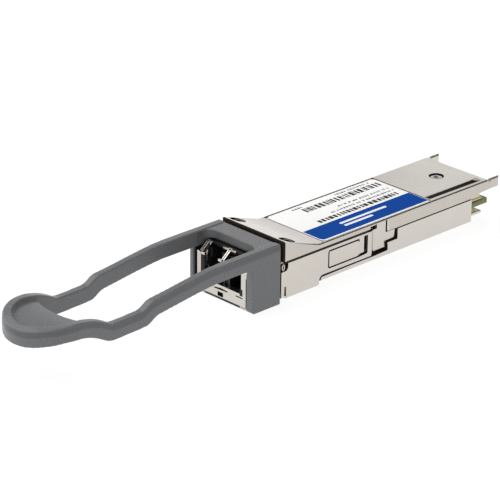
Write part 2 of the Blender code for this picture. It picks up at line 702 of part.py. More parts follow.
def build_optics(shell, ceramic, film):
    """Transmit and receive sub-assemblies, with their alignment sleeves and flexible circuits."""
    z = OPTICAL_AXIS_Z
    flex_low = CARD_TOP + GAP
    flex_side = [
        (21.9, z + 0.4), (24.6, z + 0.4), (26.4, flex_low + 0.12), (30.0, flex_low + 0.12),
        (30.0, flex_low), (26.3, flex_low), (24.5, z + 0.28), (21.9, z + 0.28),
    ]
    for word, side in (("transmit", -1), ("receive", 1)):
        x = side * PORT_PITCH / 2
        sleeve_centre = (x, INSERT_REAR - 3.9, z)
        sleeve = rod(f"{word}_sleeve", sleeve_centre, SLEEVE_RADIUS, 5.2, "Y", ceramic)
        cut(sleeve, rod(f"{word}_sleeve_bore", sleeve_centre, FERRULE_RADIUS, 8, "Y", sides=20))
        unit = box(f"{word}_assembly", (x - 2.3, 11.6, z - 2.3), (x + 2.3, 21.5, z + 2.3), shell)
        collar = rod(f"{word}_collar", (x, 10.4, z), 2.2, 3.4, "Y")
        neck = rod(f"{word}_neck", (x, 7.6, z), 1.4, 3.2, "Y")
        join(unit, collar, neck)
        prism(f"{word}_flex", flex_side, "YZ", x - 1.9, x + 1.9, film)


def build_main_board(surface):
    """Circuit board, narrow between the walls and full width at the edge connector."""
    half = CARD_WIDTH / 2
    plan = [
        (-5.4, CARD_FRONT), (5.4, CARD_FRONT), (5.4, 36.0), (7.7, 36.0), (7.7, 57.0), (half, 58.2),
        (half, CARD_REAR - 0.5), (half - 0.5, CARD_REAR), (-half + 0.5, CARD_REAR), (-half, CARD_REAR - 0.5),
        (-half, 58.2), (-7.7, 57.0), (-7.7, 36.0), (-5.4, 36.0),
    ]
    board = prism("main_board", plan, "XY", CARD_TOP - CARD_THICKNESS, CARD_TOP, surface)
    x, y, _ = SCREW_PLACES["cover_screw_rear"]
    combine(board, rod("board_hole", (x, y, CARD_TOP), 2.1, 4, "Z"), "DIFFERENCE", "MANIFOLD")
    return board


def build_contacts(name, low, high, surface):
    """A row of contact fingers joined by their plating bar, on one face of the card."""
    bar_rear = CARD_REAR - 5.2
    span = CONTACT_PITCH * (CONTACT_COUNT - 1) / 2
    half = CONTACT_WIDTH / 2
    fingers = []
    for index in range(CONTACT_COUNT):
        x = -span + CONTACT_PITCH * index
        end = CARD_REAR - (0.6 if index % 3 else 1.1)
        fingers += [(x - half, bar_rear), (x - half, end), (x + half, end), (x + half, bar_rear)]
    bar_front = bar_rear - 0.4
    plan = [(-span - half, bar_front)] + fingers[1:-1] + [(span + half, bar_front)]
    return prism(name, plan, "XY", low, high, surface)


def build_screw(name, x, y, top, surface):
    """Low cylinder-head screw with a hexagonal socket, standing in its counterbore."""
    head_base = top - SCREW_SEAT_DEPTH + GAP
    head_centre = head_base + SCREW_HEAD_HEIGHT / 2
    head = rod(name, (x, y, head_centre), SCREW_HEAD_RADIUS, SCREW_HEAD_HEIGHT, "Z", surface)
    shank_centre = head_base + 0.1 - SCREW_SHANK_LENGTH / 2
    join(head, rod(
        f"{name}_shank", (x, y, shank_centre), SCREW_SHANK_RADIUS, SCREW_SHANK_LENGTH, "Z", sides=20,
    ))
    socket_centre = head_base + SCREW_HEAD_HEIGHT
    cut(head, rod(f"{name}_socket", (x, y, socket_centre), 0.7, 0.9, "Z", sides=6))
    return head


def build_board_parts(epoxy, clay, gel):
    """Chips, inductors and capacitors on the board, and the thermal pads above and below it."""
    base = CARD_TOP + 0.1
    for name, ((x, y), (width, length), height) in CHIPS.items():
        box(name, (x, y, base), (x + width, y + length, base + height), epoxy)
    for index, x in enumerate((-6.6, -3.6), start=1):
        box(f"filter_inductor_{index}", (x, 48.0, base), (x + 2.2, 50.2, base + 1.2), epoxy)
    for index in range(4):
        x = -6.4 + 1.4 * index
        box(f"capacitor_{index + 1}", (x, 52.2, base), (x + 0.8, 53.6, base + 0.8), clay)
    chip_top = base + CHIPS["receiver_chip"][2]
    box("thermal_pad_upper", (-4.8, 33.0, chip_top + GAP), (4.8, 37.0, -COVER_THICKNESS - GAP), gel)
    card_bottom = CARD_TOP - CARD_THICKNESS
    box("thermal_pad_lower", (-4.5, 33.0, TRAY_FLOOR + GAP), (4.5, 45.0, card_bottom - GAP), gel)


clear_scene()
PARTS = new_collection("optical_transceiver_module")
CUTTERS = new_collection("cutters")
CUTTERS.hide_render = True
DATUM = new_empty("module_datum", (0, DATUM_Y * MM, DATUM_Z * MM))
RELEASE = new_empty("release_slide", (0, 0, 0), DATUM)

zinc = material("nickel_plated_zinc", (0.63, 0.60, 0.56), 0.32, 1.0)
stainless = material("stamped_stainless_sheet", (0.66, 0.64, 0.61), 0.28, 1.0)
steel = material("screw_steel", (0.45, 0.44, 0.43), 0.3, 1.0)
spring_wire = material("spring_wire", (0.5, 0.5, 0.5), 0.3, 1.0)
grey = material("tab_plastic", (0.2, 0.205, 0.21), 0.5, 0.0)
black = material("insert_plastic", (0.012, 0.012, 0.013), 0.4, 0.0)
paper = material("label_paper", (0.86, 0.87, 0.88), 0.45, 0.0)
laminate = material("board_laminate", (0.10, 0.16, 0.06), 0.45, 0.0)
gold = material("contact_gold", (0.83, 0.61, 0.24), 0.25, 1.0)
gilt = material("optics_gilt_shell", (0.75, 0.58, 0.32), 0.3, 1.0)
ceramic = material("sleeve_ceramic", (0.85, 0.84, 0.8), 0.35, 0.0)
film = material("flex_film", (0.50, 0.22, 0.05), 0.4, 0.0)
epoxy = material("chip_epoxy", (0.03, 0.03, 0.03), 0.5, 0.0)
clay = material("capacitor_body", (0.45, 0.33, 0.2), 0.5, 0.0)
gel = material("thermal_gel", (0.55, 0.62, 0.72), 0.8, 0.0)
elastomer = material("gasket_elastomer", (0.25, 0.25, 0.24), 0.7, 0.0)

build_pull_tab(grey)
build_latch_slider(stainless)
spring_middle = (SPRING_FRONT + SPRING_REAR) / 2
for word, side in (("left", -1), ("right", 1)):
    rod(
        f"return_spring_{word}", (side * SPRING_X, spring_middle, SPRING_Z),
        SPRING_RADIUS, SPRING_REAR - SPRING_FRONT, "Y", spring_wire, sides=20,
    )

build_upper_housing(zinc)
build_lower_housing(zinc)
box("product_label", (-LABEL_HALF_WIDTH, LABEL_FRONT, -0.12), (LABEL_HALF_WIDTH, LABEL_REAR, -0.02), paper)
for screw, (x, y, top) in SCREW_PLACES.items():
    build_screw(screw, x, y, top, steel)
for word, side in (("left", -1), ("right", 1)):
    near, far = sorted((side * 8.35, side * 8.75))
    box(f"seam_gasket_{word}", (near, 35.0, SEAM_REAR - 0.25), (far, 57.0, SEAM_REAR - 0.05), elastomer)

build_port_insert(black)
build_optics(gilt, ceramic, film)
box("optics_clamp", (-5.4, 14.0, OPTICAL_AXIS_Z + 2.6), (5.4, 18.5, OPTICAL_AXIS_Z + 2.9), stainless)

build_main_board(laminate)
contact_base = CARD_TOP + 0.02
build_contacts("card_contacts_top", contact_base, contact_base + CONTACT_THICKNESS, gold)
contact_base = CARD_TOP - CARD_THICKNESS - 0.02
build_contacts("card_contacts_bottom", contact_base - CONTACT_THICKNESS, contact_base, gold)
build_board_parts(epoxy, clay, gel)
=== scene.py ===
"""Looks for the optical transceiver module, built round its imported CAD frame.

Shapes are drawn in millimetres in the module's own datum: X across the module,
Y from the front edge of the top cover towards the edge connector, Z up from the
flat top face. add_piece() turns them into metres in the frame's own place.
"""

import math
import random

import bmesh
import bpy
from mathutils import Matrix, Vector


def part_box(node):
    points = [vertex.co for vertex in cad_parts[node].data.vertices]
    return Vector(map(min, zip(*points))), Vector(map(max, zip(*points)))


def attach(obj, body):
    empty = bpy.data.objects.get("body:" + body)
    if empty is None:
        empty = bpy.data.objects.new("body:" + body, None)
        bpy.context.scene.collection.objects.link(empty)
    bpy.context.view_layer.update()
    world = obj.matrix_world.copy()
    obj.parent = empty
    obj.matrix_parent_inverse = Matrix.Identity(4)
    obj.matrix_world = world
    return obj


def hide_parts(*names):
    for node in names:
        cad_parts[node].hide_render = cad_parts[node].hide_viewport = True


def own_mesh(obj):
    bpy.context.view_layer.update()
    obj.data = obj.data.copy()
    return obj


MM = 0.001

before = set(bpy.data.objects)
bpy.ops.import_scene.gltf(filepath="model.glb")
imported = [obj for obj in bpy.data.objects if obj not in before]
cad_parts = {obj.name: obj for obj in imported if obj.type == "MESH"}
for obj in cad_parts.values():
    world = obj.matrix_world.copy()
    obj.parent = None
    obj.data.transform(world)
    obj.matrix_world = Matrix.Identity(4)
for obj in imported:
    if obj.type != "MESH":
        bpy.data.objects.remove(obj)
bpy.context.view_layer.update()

# The tab's frame ends 0.85 mm before the datum's Y zero, and its top is 2.95 mm above the flat
# top face.
TAB_TOP = 2.95
FRAME_REAR = -0.85
DATUM = Vector((
    0.0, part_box("pull_tab")[1].y / MM - FRAME_REAR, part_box("pull_tab")[1].z / MM - TAB_TOP,
))

HALF_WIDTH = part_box("pull_tab")[1].x / MM
TAB_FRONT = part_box("pull_tab")[0].y / MM - DATUM.y

# Camera, round the datum: degrees, and millimetres off the datum's origin.
CAMERA_AZIMUTH = 45.84
CAMERA_ELEVATION = 23.42
CAMERA_ROLL = 0.64
CAMERA_DISTANCE = 531.15
CAMERA_SHIFT = (0.515, 1.173)
CAMERA_LENS = 186.77

# Pull tab. Its two profiles are (y, z) points along the top and the underside of its side walls.
TAB_HEIGHT = 3.05
TAB_WALL = 1.9
SHOULDER_WIDTH = 0.22
# SIDE_BAND is the height of the painted shade band along the top of the tab's outer side.
SIDE_BAND = 1.2
SHOULDER_HEIGHT = 1.5
SKIN_LOSS = 0.16
TAB_PROFILE = (
    (TAB_FRONT - 1.0, 0.85), (-60.0, 1.68), (-55.0, 2.05), (-53.2, 2.0), (-51.0, 1.6), (-49.0, 0.97),
    (-47.0, 0.05), (-45.7, -0.62), (-44.6, -0.7), (-39.0, -0.56), (-38.0, -0.42), (-36.9, 0.12),
    (-36.0, 0.68), (-35.1, 0.97), (-33.0, 1.2), (-20.2, 2.74), (-18.6, 2.86), (-10.5, TAB_TOP),
    (0.0, TAB_TOP),
)
TAB_UNDERSIDE = (
    (TAB_FRONT - 1.0, -2.2), (-60.0, -1.37), (-56.0, -0.84), (-54.0, -0.88), (-52.0, -1.24), (-50.0, -1.95),
    (-48.0, -2.98), (-46.9, -3.5), (-45.8, -3.72), (-38.2, -3.52), (-37.0, -3.4), (-36.0, -2.95),
    (-35.0, -2.31), (-34.0, -1.93), (-33.0, -1.8), (-20.0, -0.24), (-18.6, -0.15), (-13.0, -0.1), (0.0, -0.1),
)
RING_CENTRE = TAB_FRONT + HALF_WIDTH
PAD_RECESS = 0.7
PAD_THICKNESS = 1.5
PAD_EDGE_RADIUS = 14.6
PAD_EDGE_CENTRE = -38.4
FRAME_FRONT = -8.68
FRAME_BOTTOM = -10.2
FAR_FRONT = -8.98
FAR_LEG = 0.95
FAR_RELIEF_REAR = -3.4
FRAME_BAR = 2.0
WINDOW_REAR = -5.2
WINDOW_RADIUS = 2.4
LEG_FILLET = 0.5
LEG_CORNER = 0.7
CRISP_EDGE = 0.1
VOXEL = 0.16
GATE_MARK_RADIUS = 0.75
GATE_MARK_BEARING = -128

# Latch slider, folded from one flat blank.
SHEET = 0.5
FOLD_RADIUS = 0.65
SLIDER_FRONT = 0.5
STRIP_FRONT = -0.62
ARM_TOP = -1.65
ARM_BOTTOM = -7.25
BRIDGE_REAR = 10.4
NOSE_BOTTOM = -9.7
JOG_FRONT = 25.6
JOG_LENGTH = 1.3
JOG_DEPTH = 0.35
TIP_FRONT = 27.75
TIP_REAR = 30.5
TIP_TOP = -0.64
TIP_BOTTOM = -6.6
TONGUE_REAR = 33.4
SPRING_X = 7.35
SPRING_Z = -4.3
SPRING_FRONT = 13.6
SPRING_REAR = 22.8
SPRING_COIL = 0.74
SPRING_WIRE = 0.15
SPRING_TURNS = 9

# Body.
SEAM_FRONT = -1.35
SEAM_REAR = -3.0
LOWER_REAR = 57.5
DARK_LIP = 0.4
NOSE_FRONT = -8.5
ROOF_FRONT = -6.1
ROOF_TOP = 0.65
NOSE_LIP = -1.3
LONG_EDGE = 2.0
PORT_PITCH = 6.25
PORT_WIDTH = 4.7
SEAT_DEPTH = 1.2
SEAT_RADIUS = 1.72
SCREW_LIFT = 0.3
SCREW_HEAD = 0.7
SCREW_LOBES = 48
SCREWS = {
    "cover_screw_left": (-7.2, 2.7, 2.4),
    "cover_screw_right": (7.2, 2.7, 2.4),
    "cover_screw_rear": (0.0, 55.8, 0.0),
}

LABEL_FRONT = 12.0
LABEL_REAR = 44.3
LABEL_NEAR = 8.7
LABEL_FAR = -8.3
LABEL_TOP = 0.02
INK = 0.01

# Studio.
WALL_LIGHT = 1.0
CEILING_LIGHT = 0.06
CEILING_START = 27
CEILING_END = 38
LAMP_POWER = 10.0
LAMP_SIZE = 1.5
LAMP_PLACE = (-0.35, -0.25, 0.8)
FLOOR_SIZE = 3.0
FLOOR_DROP = 0.00005
FLOOR_GLOW = 0.88
FLOOR_COLOUR = 0.2


def to_frame(shape):
    """Moves a shape from datum millimetres to the frame's metres."""
    bmesh.ops.translate(shape, verts=shape.verts, vec=DATUM)
    bmesh.ops.scale(shape, verts=shape.verts, vec=(MM, MM, MM))


def in_datum(box):
    """The two corners of a frame box, in datum millimetres."""
    return [corner / MM - DATUM for corner in box]


def add_piece(name, shape, surface, body, slot, *stands_for, angle=35):
    """Makes one piece from a bmesh drawn in datum millimetres, and rides it on its CAD body."""
    to_frame(shape)
    mesh = bpy.data.meshes.new(name)
    shape.to_mesh(mesh)
    shape.free()
    mesh.materials.append(surface)
    mesh.shade_smooth()
    mesh.set_sharp_from_angle(angle=math.radians(angle))
    piece = bpy.data.objects.new(name, mesh)
    bpy.context.scene.collection.objects.link(piece)
    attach(piece, body)
    if stands_for:
        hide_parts(*stands_for)
    return piece


def add_block(shape, low, high):
    """Adds an axis-aligned block between two corners."""
    made = bmesh.ops.create_cube(shape, size=1.0)["verts"]
    bmesh.ops.scale(shape, verts=made, vec=[b - a for a, b in zip(low, high)])
    bmesh.ops.translate(shape, verts=made, vec=[(a + b) / 2 for a, b in zip(low, high)])


def arc(centre, radius, start, end, steps):
    """Points round an arc, angles in degrees."""
    angles = [math.radians(start + (end - start) * i / steps) for i in range(steps + 1)]
    return [(centre[0] + radius * math.cos(a), centre[1] + radius * math.sin(a)) for a in angles]


def add_plate(shape, loops, plane, low, high, edge=0.0):
    """Adds a flat plate with an outer loop, holes and a rounded edge, extruded from low to high."""
    curve = bpy.data.curves.new("plate", "CURVE")
    curve.dimensions = "2D"
    curve.fill_mode = "BOTH"
    curve.extrude = (high - low) / 2 - edge
    curve.bevel_depth = edge
    curve.bevel_resolution = 1
    curve.offset = -edge
    for loop in loops:
        line = curve.splines.new("POLY")
        line.points.add(len(loop) - 1)
        for point, (a, b) in zip(line.points, loop):
            point.co = (a, b, 0, 1)
        line.use_cyclic_u = True
    plate = from_curve(curve)
    middle = (low + high) / 2
    on_side = Matrix(((0, 0, 1, 0), (1, 0, 0, 0), (0, 1, 0, 0), (0, 0, 0, 1)))
    turns = {
        "XY": Matrix.Translation((0, 0, middle)),
        "YZ": Matrix.Translation((middle, 0, 0)) @ on_side,
    }
    bmesh.ops.transform(plate, matrix=turns[plane], verts=plate.verts)
    merge(shape, plate)


def merge(shape, other):
    """Copies another bmesh into shape, and frees it."""
    mesh = bpy.data.meshes.new("merge")
    other.to_mesh(mesh)
    other.free()
    shape.from_mesh(mesh)
    bpy.data.meshes.remove(mesh)


def smooth_height(stations, y):
    """Height at y of a smooth curve through the stations, with no overshoot between them."""
    slopes = []
    for i in range(len(stations)):
        if i in (0, len(stations) - 1):
            slopes.append(0.0)
            continue
        before = (stations[i][1] - stations[i - 1][1]) / (stations[i][0] - stations[i - 1][0])
        after = (stations[i + 1][1] - stations[i][1]) / (stations[i + 1][0] - stations[i][0])
        slopes.append(0.0 if before * after <= 0 else 2 * before * after / (before + after))
    for i in range(len(stations) - 1):
        (y0, z0), (y1, z1) = stations[i], stations[i + 1]
        if y <= y1 or i == len(stations) - 2:
            span = y1 - y0
            t = min(max((y - y0) / span, 0.0), 1.0)
            start = (1 + 2 * t) * (1 - t) ** 2 * z0 + t * (1 - t) ** 2 * span * slopes[i]
            return start + t * t * (3 - 2 * t) * z1 + t * t * (t - 1) * span * slopes[i + 1]
    return stations[-1][1]


def surface_nodes(name, roughness, metallic):
    """A new Principled material, and handles to build on."""
    made = bpy.data.materials.new(name)
    made.use_nodes = True
    nodes = made.node_tree.nodes
    shader = nodes["Principled BSDF"]
    shader.inputs["Roughness"].default_value = roughness
    shader.inputs["Metallic"].default_value = metallic
    where = nodes.new("ShaderNodeTexCoord")
    return made, nodes, made.node_tree.links, shader, where.outputs["Object"]


def add_noise(nodes, links, where, size, detail, stretch):
    """Noise whose grains are about size millimetres across, stretched along an axis."""
    mapping = nodes.new("ShaderNodeMapping")
    mapping.inputs["Scale"].default_value = [1 / factor for factor in stretch]
    noise = nodes.new("ShaderNodeTexNoise")
    noise.inputs["Scale"].default_value = 1 / (size * MM)
    noise.inputs["Detail"].default_value = detail
    links.new(where, mapping.inputs["Vector"])
    links.new(mapping.outputs["Vector"], noise.inputs["Vector"])
    return noise.outputs["Fac"]


def add_ramp(nodes, links, factor, low, high):
    """Turns a noise factor into a value between low and high."""
    ramp = nodes.new("ShaderNodeMapRange")
    ramp.inputs["From Min"].default_value = 0.3
    ramp.inputs["From Max"].default_value = 0.7
    ramp.inputs["To Min"].default_value = low
    ramp.inputs["To Max"].default_value = high
    links.new(factor, ramp.inputs["Value"])
    return ramp.outputs["Result"]


def add_mix(nodes, links, factor, low, high):
    """Mixes two colours by a factor."""
    mix = nodes.new("ShaderNodeMix")
    mix.data_type = "RGBA"
    mix.inputs["A"].default_value = (*low, 1)
    mix.inputs["B"].default_value = (*high, 1)
    links.new(factor, mix.inputs["Factor"])
    return mix.outputs["Result"]


def add_bump(nodes, links, shader, factor, height):
    """Adds a fine relief, its height in millimetres."""
    bump = nodes.new("ShaderNodeBump")
    bump.inputs["Distance"].default_value = height * MM
    bump.inputs["Strength"].default_value = 1.0
    links.new(factor, bump.inputs["Height"])
    links.new(bump.outputs["Normal"], shader.inputs["Normal"])


def grained(name, low, high, roughness, metallic, blotch, grain, height, stretch=(1, 1, 1)):
    """A surface with soft blotches of colour, and a fine grain in its gloss and relief."""
    spread = 0.08
    made, nodes, links, shader, where = surface_nodes(name, roughness, metallic)
    blotches = add_noise(nodes, links, where, blotch, 2.0, stretch)
    links.new(add_mix(nodes, links, blotches, low, high), shader.inputs["Base Color"])
    grains = add_noise(nodes, links, where, grain, 4.0, stretch)
    gloss = add_ramp(nodes, links, grains, roughness - spread, roughness + spread)
    links.new(gloss, shader.inputs["Roughness"])
    add_bump(nodes, links, shader, grains, height)
    return made


def add_rounded_block(shape, low, high, radius, segments=2):
    """Adds a block with all its edges rounded."""
    block = bmesh.new()
    add_block(block, low, high)
    bmesh.ops.bevel(
        block, geom=block.edges[:], offset=radius, segments=segments, profile=0.5, affect="EDGES",
    )
    merge(shape, block)


def add_side_block(shape, side, xs, ys, zs, radius):
    """Adds a rounded block on one side (-1 or 1) of the middle, between pairs of distances."""
    near, far = sorted(side * x for x in xs)
    add_rounded_block(shape, (near, ys[0], zs[0]), (far, ys[1], zs[1]), radius)


def add_turned(shape, profile, place, sides):
    """Adds a solid turned round a vertical axis at place, from (radius, height) points."""
    rings = []
    for radius, height in profile:
        ring = []
        for index in range(sides if radius > 0 else 1):
            turn = 2 * math.pi * index / sides
            ring.append(shape.verts.new((
                place[0] + radius * math.cos(turn), place[1] + radius * math.sin(turn), place[2] + height,
            )))
        rings.append(ring)
    for inner, outer in zip(rings, rings[1:]):
        for index in range(sides):
            corners = [inner[index % len(inner)], outer[index % len(outer)]]
            corners += [outer[(index + 1) % len(outer)], inner[(index + 1) % len(inner)]]
            shape.faces.new(list(dict.fromkeys(corners)))
    bmesh.ops.recalc_face_normals(shape, faces=shape.faces)


def add_disc(shape, radius, height, place, sides):
    """Adds a flat disc that stands on place."""
    add_turned(shape, [(0, 0.0), (radius, 0.0), (radius, height), (0, height)], place, sides)


def slice_at(shape, place, direction):
    """Cuts all of a shape's faces along a plane, and keeps both sides."""
    cutting = shape.verts[:] + shape.edges[:] + shape.faces[:]
    bmesh.ops.bisect_plane(shape, geom=cutting, plane_co=place, plane_no=direction)


def add_tube(shape, path, radius, cyclic=False):
    """Adds a round wire along a path of (x, y, z) points."""
    curve = bpy.data.curves.new("wire", "CURVE")
    curve.dimensions = "3D"
    curve.bevel_depth = radius
    curve.bevel_resolution = 3
    curve.use_fill_caps = True
    line = curve.splines.new("POLY")
    line.points.add(len(path) - 1)
    for point, place in zip(line.points, path):
        point.co = (*place, 1)
    line.use_cyclic_u = cyclic
    merge(shape, from_curve(curve))


def add_tab_bar(shape, line, section):
    """Adds a bar along a line of ((x, y), outward direction), bent to the tab's two side profiles."""
    rings = []
    for (x, y), (u, v) in line:
        ring = []
        for offset, height in section:
            place = Vector((x + u * offset, y + v * offset, 0))
            if height > TAB_HEIGHT / 2:
                place.z = smooth_height(TAB_PROFILE, place.y) - TAB_HEIGHT + height + SKIN_LOSS
            else:
                place.z = smooth_height(TAB_UNDERSIDE, place.y) + height - SKIN_LOSS
            ring.append(shape.verts.new(place))
        rings.append(ring)
    count = len(section)
    for ring, following in zip(rings, rings[1:]):
        for i in range(count):
            j = (i + 1) % count
            shape.faces.new((ring[i], ring[j], following[j], following[i]))
    shape.faces.new(rings[0])
    shape.faces.new(list(reversed(rings[-1])))
    bmesh.ops.recalc_face_normals(shape, faces=shape.faces)


def from_curve(curve):
    """The closed bmesh that a curve makes. The curve is removed."""
    sketch = bpy.data.objects.new("sketch", curve)
    bpy.context.scene.collection.objects.link(sketch)
    graph = bpy.context.evaluated_depsgraph_get()
    mesh = bpy.data.meshes.new_from_object(sketch.evaluated_get(graph))
    bpy.data.objects.remove(sketch)
    bpy.data.curves.remove(curve)
    solid = bmesh.new()
    solid.from_mesh(mesh)
    bpy.data.meshes.remove(mesh)
    bmesh.ops.remove_doubles(solid, verts=solid.verts, dist=1e-4)
    bmesh.ops.recalc_face_normals(solid, faces=solid.faces)
    return solid


def rounded_rectangle(width, height, rounding, steps, centre):
    """Corner points of a rounded rectangle."""
    a = width / 2 - rounding
    b = height / 2 - rounding
    corners = []
    for (u, v), start in (((a, b), 0), ((-a, b), 90), ((-a, -b), 180), ((a, -b), 270)):
        corners += arc((centre[0] + u, centre[1] + v), rounding, start, start + 90, steps)
    return corners


def through_modifiers(shape, settings):
    """Sends a bmesh through modifiers, given as (type, {setting: value}), and returns the result."""
    mesh = bpy.data.meshes.new("work")
    shape.to_mesh(mesh)
    shape.free()
    work = bpy.data.objects.new("work", mesh)
    bpy.context.scene.collection.objects.link(work)
    for kind, values in settings:
        modifier = work.modifiers.new(kind, kind)
        for setting, value in values.items():
            setattr(modifier, setting, value)
    graph = bpy.context.evaluated_depsgraph_get()
    made = bpy.data.meshes.new_from_object(work.evaluated_get(graph))
    result = bmesh.new()
    result.from_mesh(made)
    bpy.data.objects.remove(work)
    bpy.data.meshes.remove(mesh)
    bpy.data.meshes.remove(made)
    return result


def paint(obj, surface, chosen):
    """Gives obj's faces another material where chosen(x, y, z) is true of their datum centres."""
    obj.data.materials.append(surface)
    index = len(obj.data.materials) - 1
    for face in obj.data.polygons:
        place = face.center / MM - DATUM
        if chosen(*place):
            face.material_index = index


def weigh_normals(obj):
    """Keeps the broad faces of an object flat beside their rounded edges."""
    normals = obj.modifiers.new("weighted_normals", "WEIGHTED_NORMAL")
    normals.keep_sharp = True
    normals.weight = 80


def dress(node, surface, edge=0.0, segments=2):
    """Gives a CAD node its material and a fine rounding of its edges, and leaves its mesh alone."""
    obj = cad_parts[node]
    obj.data.materials.clear()
    obj.data.materials.append(surface)
    for face in obj.data.polygons:
        face.material_index = 0
    obj.data.shade_smooth()
    weld = obj.modifiers.new("weld", "WELD")
    weld.merge_threshold = 2e-6
    flat = obj.modifiers.new("flat_faces", "DECIMATE")
    flat.decimate_type = "DISSOLVE"
    flat.angle_limit = math.radians(0.5)
    flat.delimit = {"MATERIAL"}
    if edge:
        bevel = obj.modifiers.new("rounded_edges", "BEVEL")
        bevel.width = edge * MM
        bevel.segments = segments
        bevel.limit_method = "ANGLE"
        bevel.angle_limit = math.radians(35)
        bevel.miter_outer = "MITER_ARC"
    weigh_normals(obj)
    return obj


def plain_surface(name, colour, roughness, metallic, spread, grain, height=0.004, **sockets):
    """A surface of one slightly varying colour with a fine grain; sockets sets other inputs."""
    low = [value * (1 - spread) for value in colour]
    high = [min(value * (1 + spread), 1.0) for value in colour]
    made = grained(name, low, high, roughness, metallic, 6 * grain, grain, height)
    shader = made.node_tree.nodes["Principled BSDF"]
    for socket, value in sockets.items():
        shader.inputs[socket.replace("_", " ")].default_value = value
    return made


# Surfaces.
dull = {"Specular_IOR_Level": 0.1}
zinc = grained(
    "nickel_plated_zinc", (0.59, 0.555, 0.515), (0.645, 0.61, 0.565), 0.2, 1.0, 9.0, 0.35, 0.004,
)
# A darker copy of the plated zinc: painted shade on the upper shell's sides and the pocket's end wall.
zinc_painted_side_shade = grained(
    "nickel_plated_zinc_painted_shade", (0.50, 0.465, 0.42), (0.585, 0.55, 0.505), 0.22, 1.0, 9.0, 0.35, 0.004,
)
sheet = grained(
    "stamped_stainless_sheet", (0.58, 0.545, 0.50), (0.64, 0.60, 0.555), 0.2, 1.0, 7.0, 0.3, 0.003, (1, 9, 1),
)
pocket = plain_surface("shaded_pocket", (0.075, 0.062, 0.056), 0.7, 0.0, 0.3, 3.0, **dull)
recess = plain_surface("shaded_recess", (0.022, 0.015, 0.011), 0.7, 0.0, 0.3, 0.5, **dull)
shade = plain_surface("shaded_plastic", (0.012, 0.012, 0.012), 0.7, 0.0, 0.2, 0.5, **dull)
steel = plain_surface("screw_steel", (0.55, 0.54, 0.53), 0.25, 1.0, 0.08, 0.2, 0.002)
# Near-black steel for the two front screws: painted shade deep in their counterbores.
front_screw_shade_steel = plain_surface("front_screw_painted_shade", (0.03, 0.027, 0.025), 0.35, 0.6, 0.2, 0.2, 0.002)
wire = plain_surface("spring_wire", (0.56, 0.55, 0.54), 0.22, 1.0, 0.08, 0.2, 0.002)
grey = plain_surface("tab_plastic", (0.125, 0.128, 0.132), 0.3, 0.0, 0.04, 0.28, 0.003)
# A darker grey for the upper band of the tab's outer side: painted shade.
grey_painted_upper_shade = plain_surface("tab_plastic_painted_upper_shade", (0.088, 0.09, 0.094), 0.35, 0.0, 0.04, 0.28, 0.003)
# A darker grey for the inner walls of the frame's window: painted shade.
grey_painted_window_shade = plain_surface("tab_plastic_painted_window_shade", (0.088, 0.09, 0.092), 0.4, 0.0, 0.04, 0.28, 0.003)
black = plain_surface(
    "insert_plastic", (0.007, 0.007, 0.008), 0.45, 0.0, 0.2, 0.3, 0.006, Specular_IOR_Level=0.25,
)
black_rim = plain_surface("insert_rim_plastic", (0.03, 0.031, 0.033), 0.25, 0.0, 0.2, 0.3, 0.004)
paper = plain_surface("label_paper", (0.975, 0.97, 0.96), 0.6, 0.0, 0.01, 0.5, 0.002, **dull)
blue_ink = plain_surface(
    "blue_ink", (0.0115, 0.068, 0.33), 0.6, 0.0, 0.05, 0.4, 0.001, Specular_IOR_Level=0.0,
)
black_ink = plain_surface("black_ink", (0.022, 0.022, 0.023), 0.5, 0.0, 0.3, 0.3, 0.001, **dull)
grey_ink = plain_surface("grey_ink", (0.13, 0.13, 0.135), 0.5, 0.0, 0.3, 0.3, 0.001, **dull)
white_ink = plain_surface("white_ink", (0.9, 0.92, 0.95), 0.5, 0.0, 0.02, 0.3, 0.001, **dull)
laminate = plain_surface("board_laminate", (0.17, 0.17, 0.055), 0.45, 0.0, 0.15, 0.25, 0.006)
gold = plain_surface("contact_gold", (0.62, 0.52, 0.27), 0.28, 1.0, 0.06, 0.3, 0.003)
gilt = plain_surface("optics_gilt_shell", (0.78, 0.62, 0.36), 0.3, 1.0, 0.08, 0.4, 0.004)
ceramic = plain_surface("sleeve_ceramic", (0.85, 0.84, 0.80), 0.3, 0.0, 0.02, 0.3, 0.002)
film = plain_surface("flex_film", (0.48, 0.20, 0.05), 0.35, 0.0, 0.12, 0.4, 0.004)
epoxy = plain_surface("chip_epoxy", (0.028, 0.028, 0.03), 0.5, 0.0, 0.25, 0.15, 0.006)
clay = plain_surface("capacitor_body", (0.42, 0.30, 0.18), 0.45, 0.0, 0.1, 0.15, 0.003)
tin = plain_surface("tinned_end", (0.72, 0.72, 0.71), 0.35, 1.0, 0.06, 0.15, 0.004)
gel = plain_surface("thermal_gel", (0.50, 0.58, 0.70), 0.8, 0.0, 0.06, 0.3, 0.02)
# Near-black elastomer for the seam gaskets and screw seals; its black also paints the shade in seam gaps and
# counterbores.
gasket_shade_elastomer = plain_surface("gasket_elastomer", (0.02, 0.014, 0.011), 0.75, 0.0, 0.2, 0.3, 0.01)


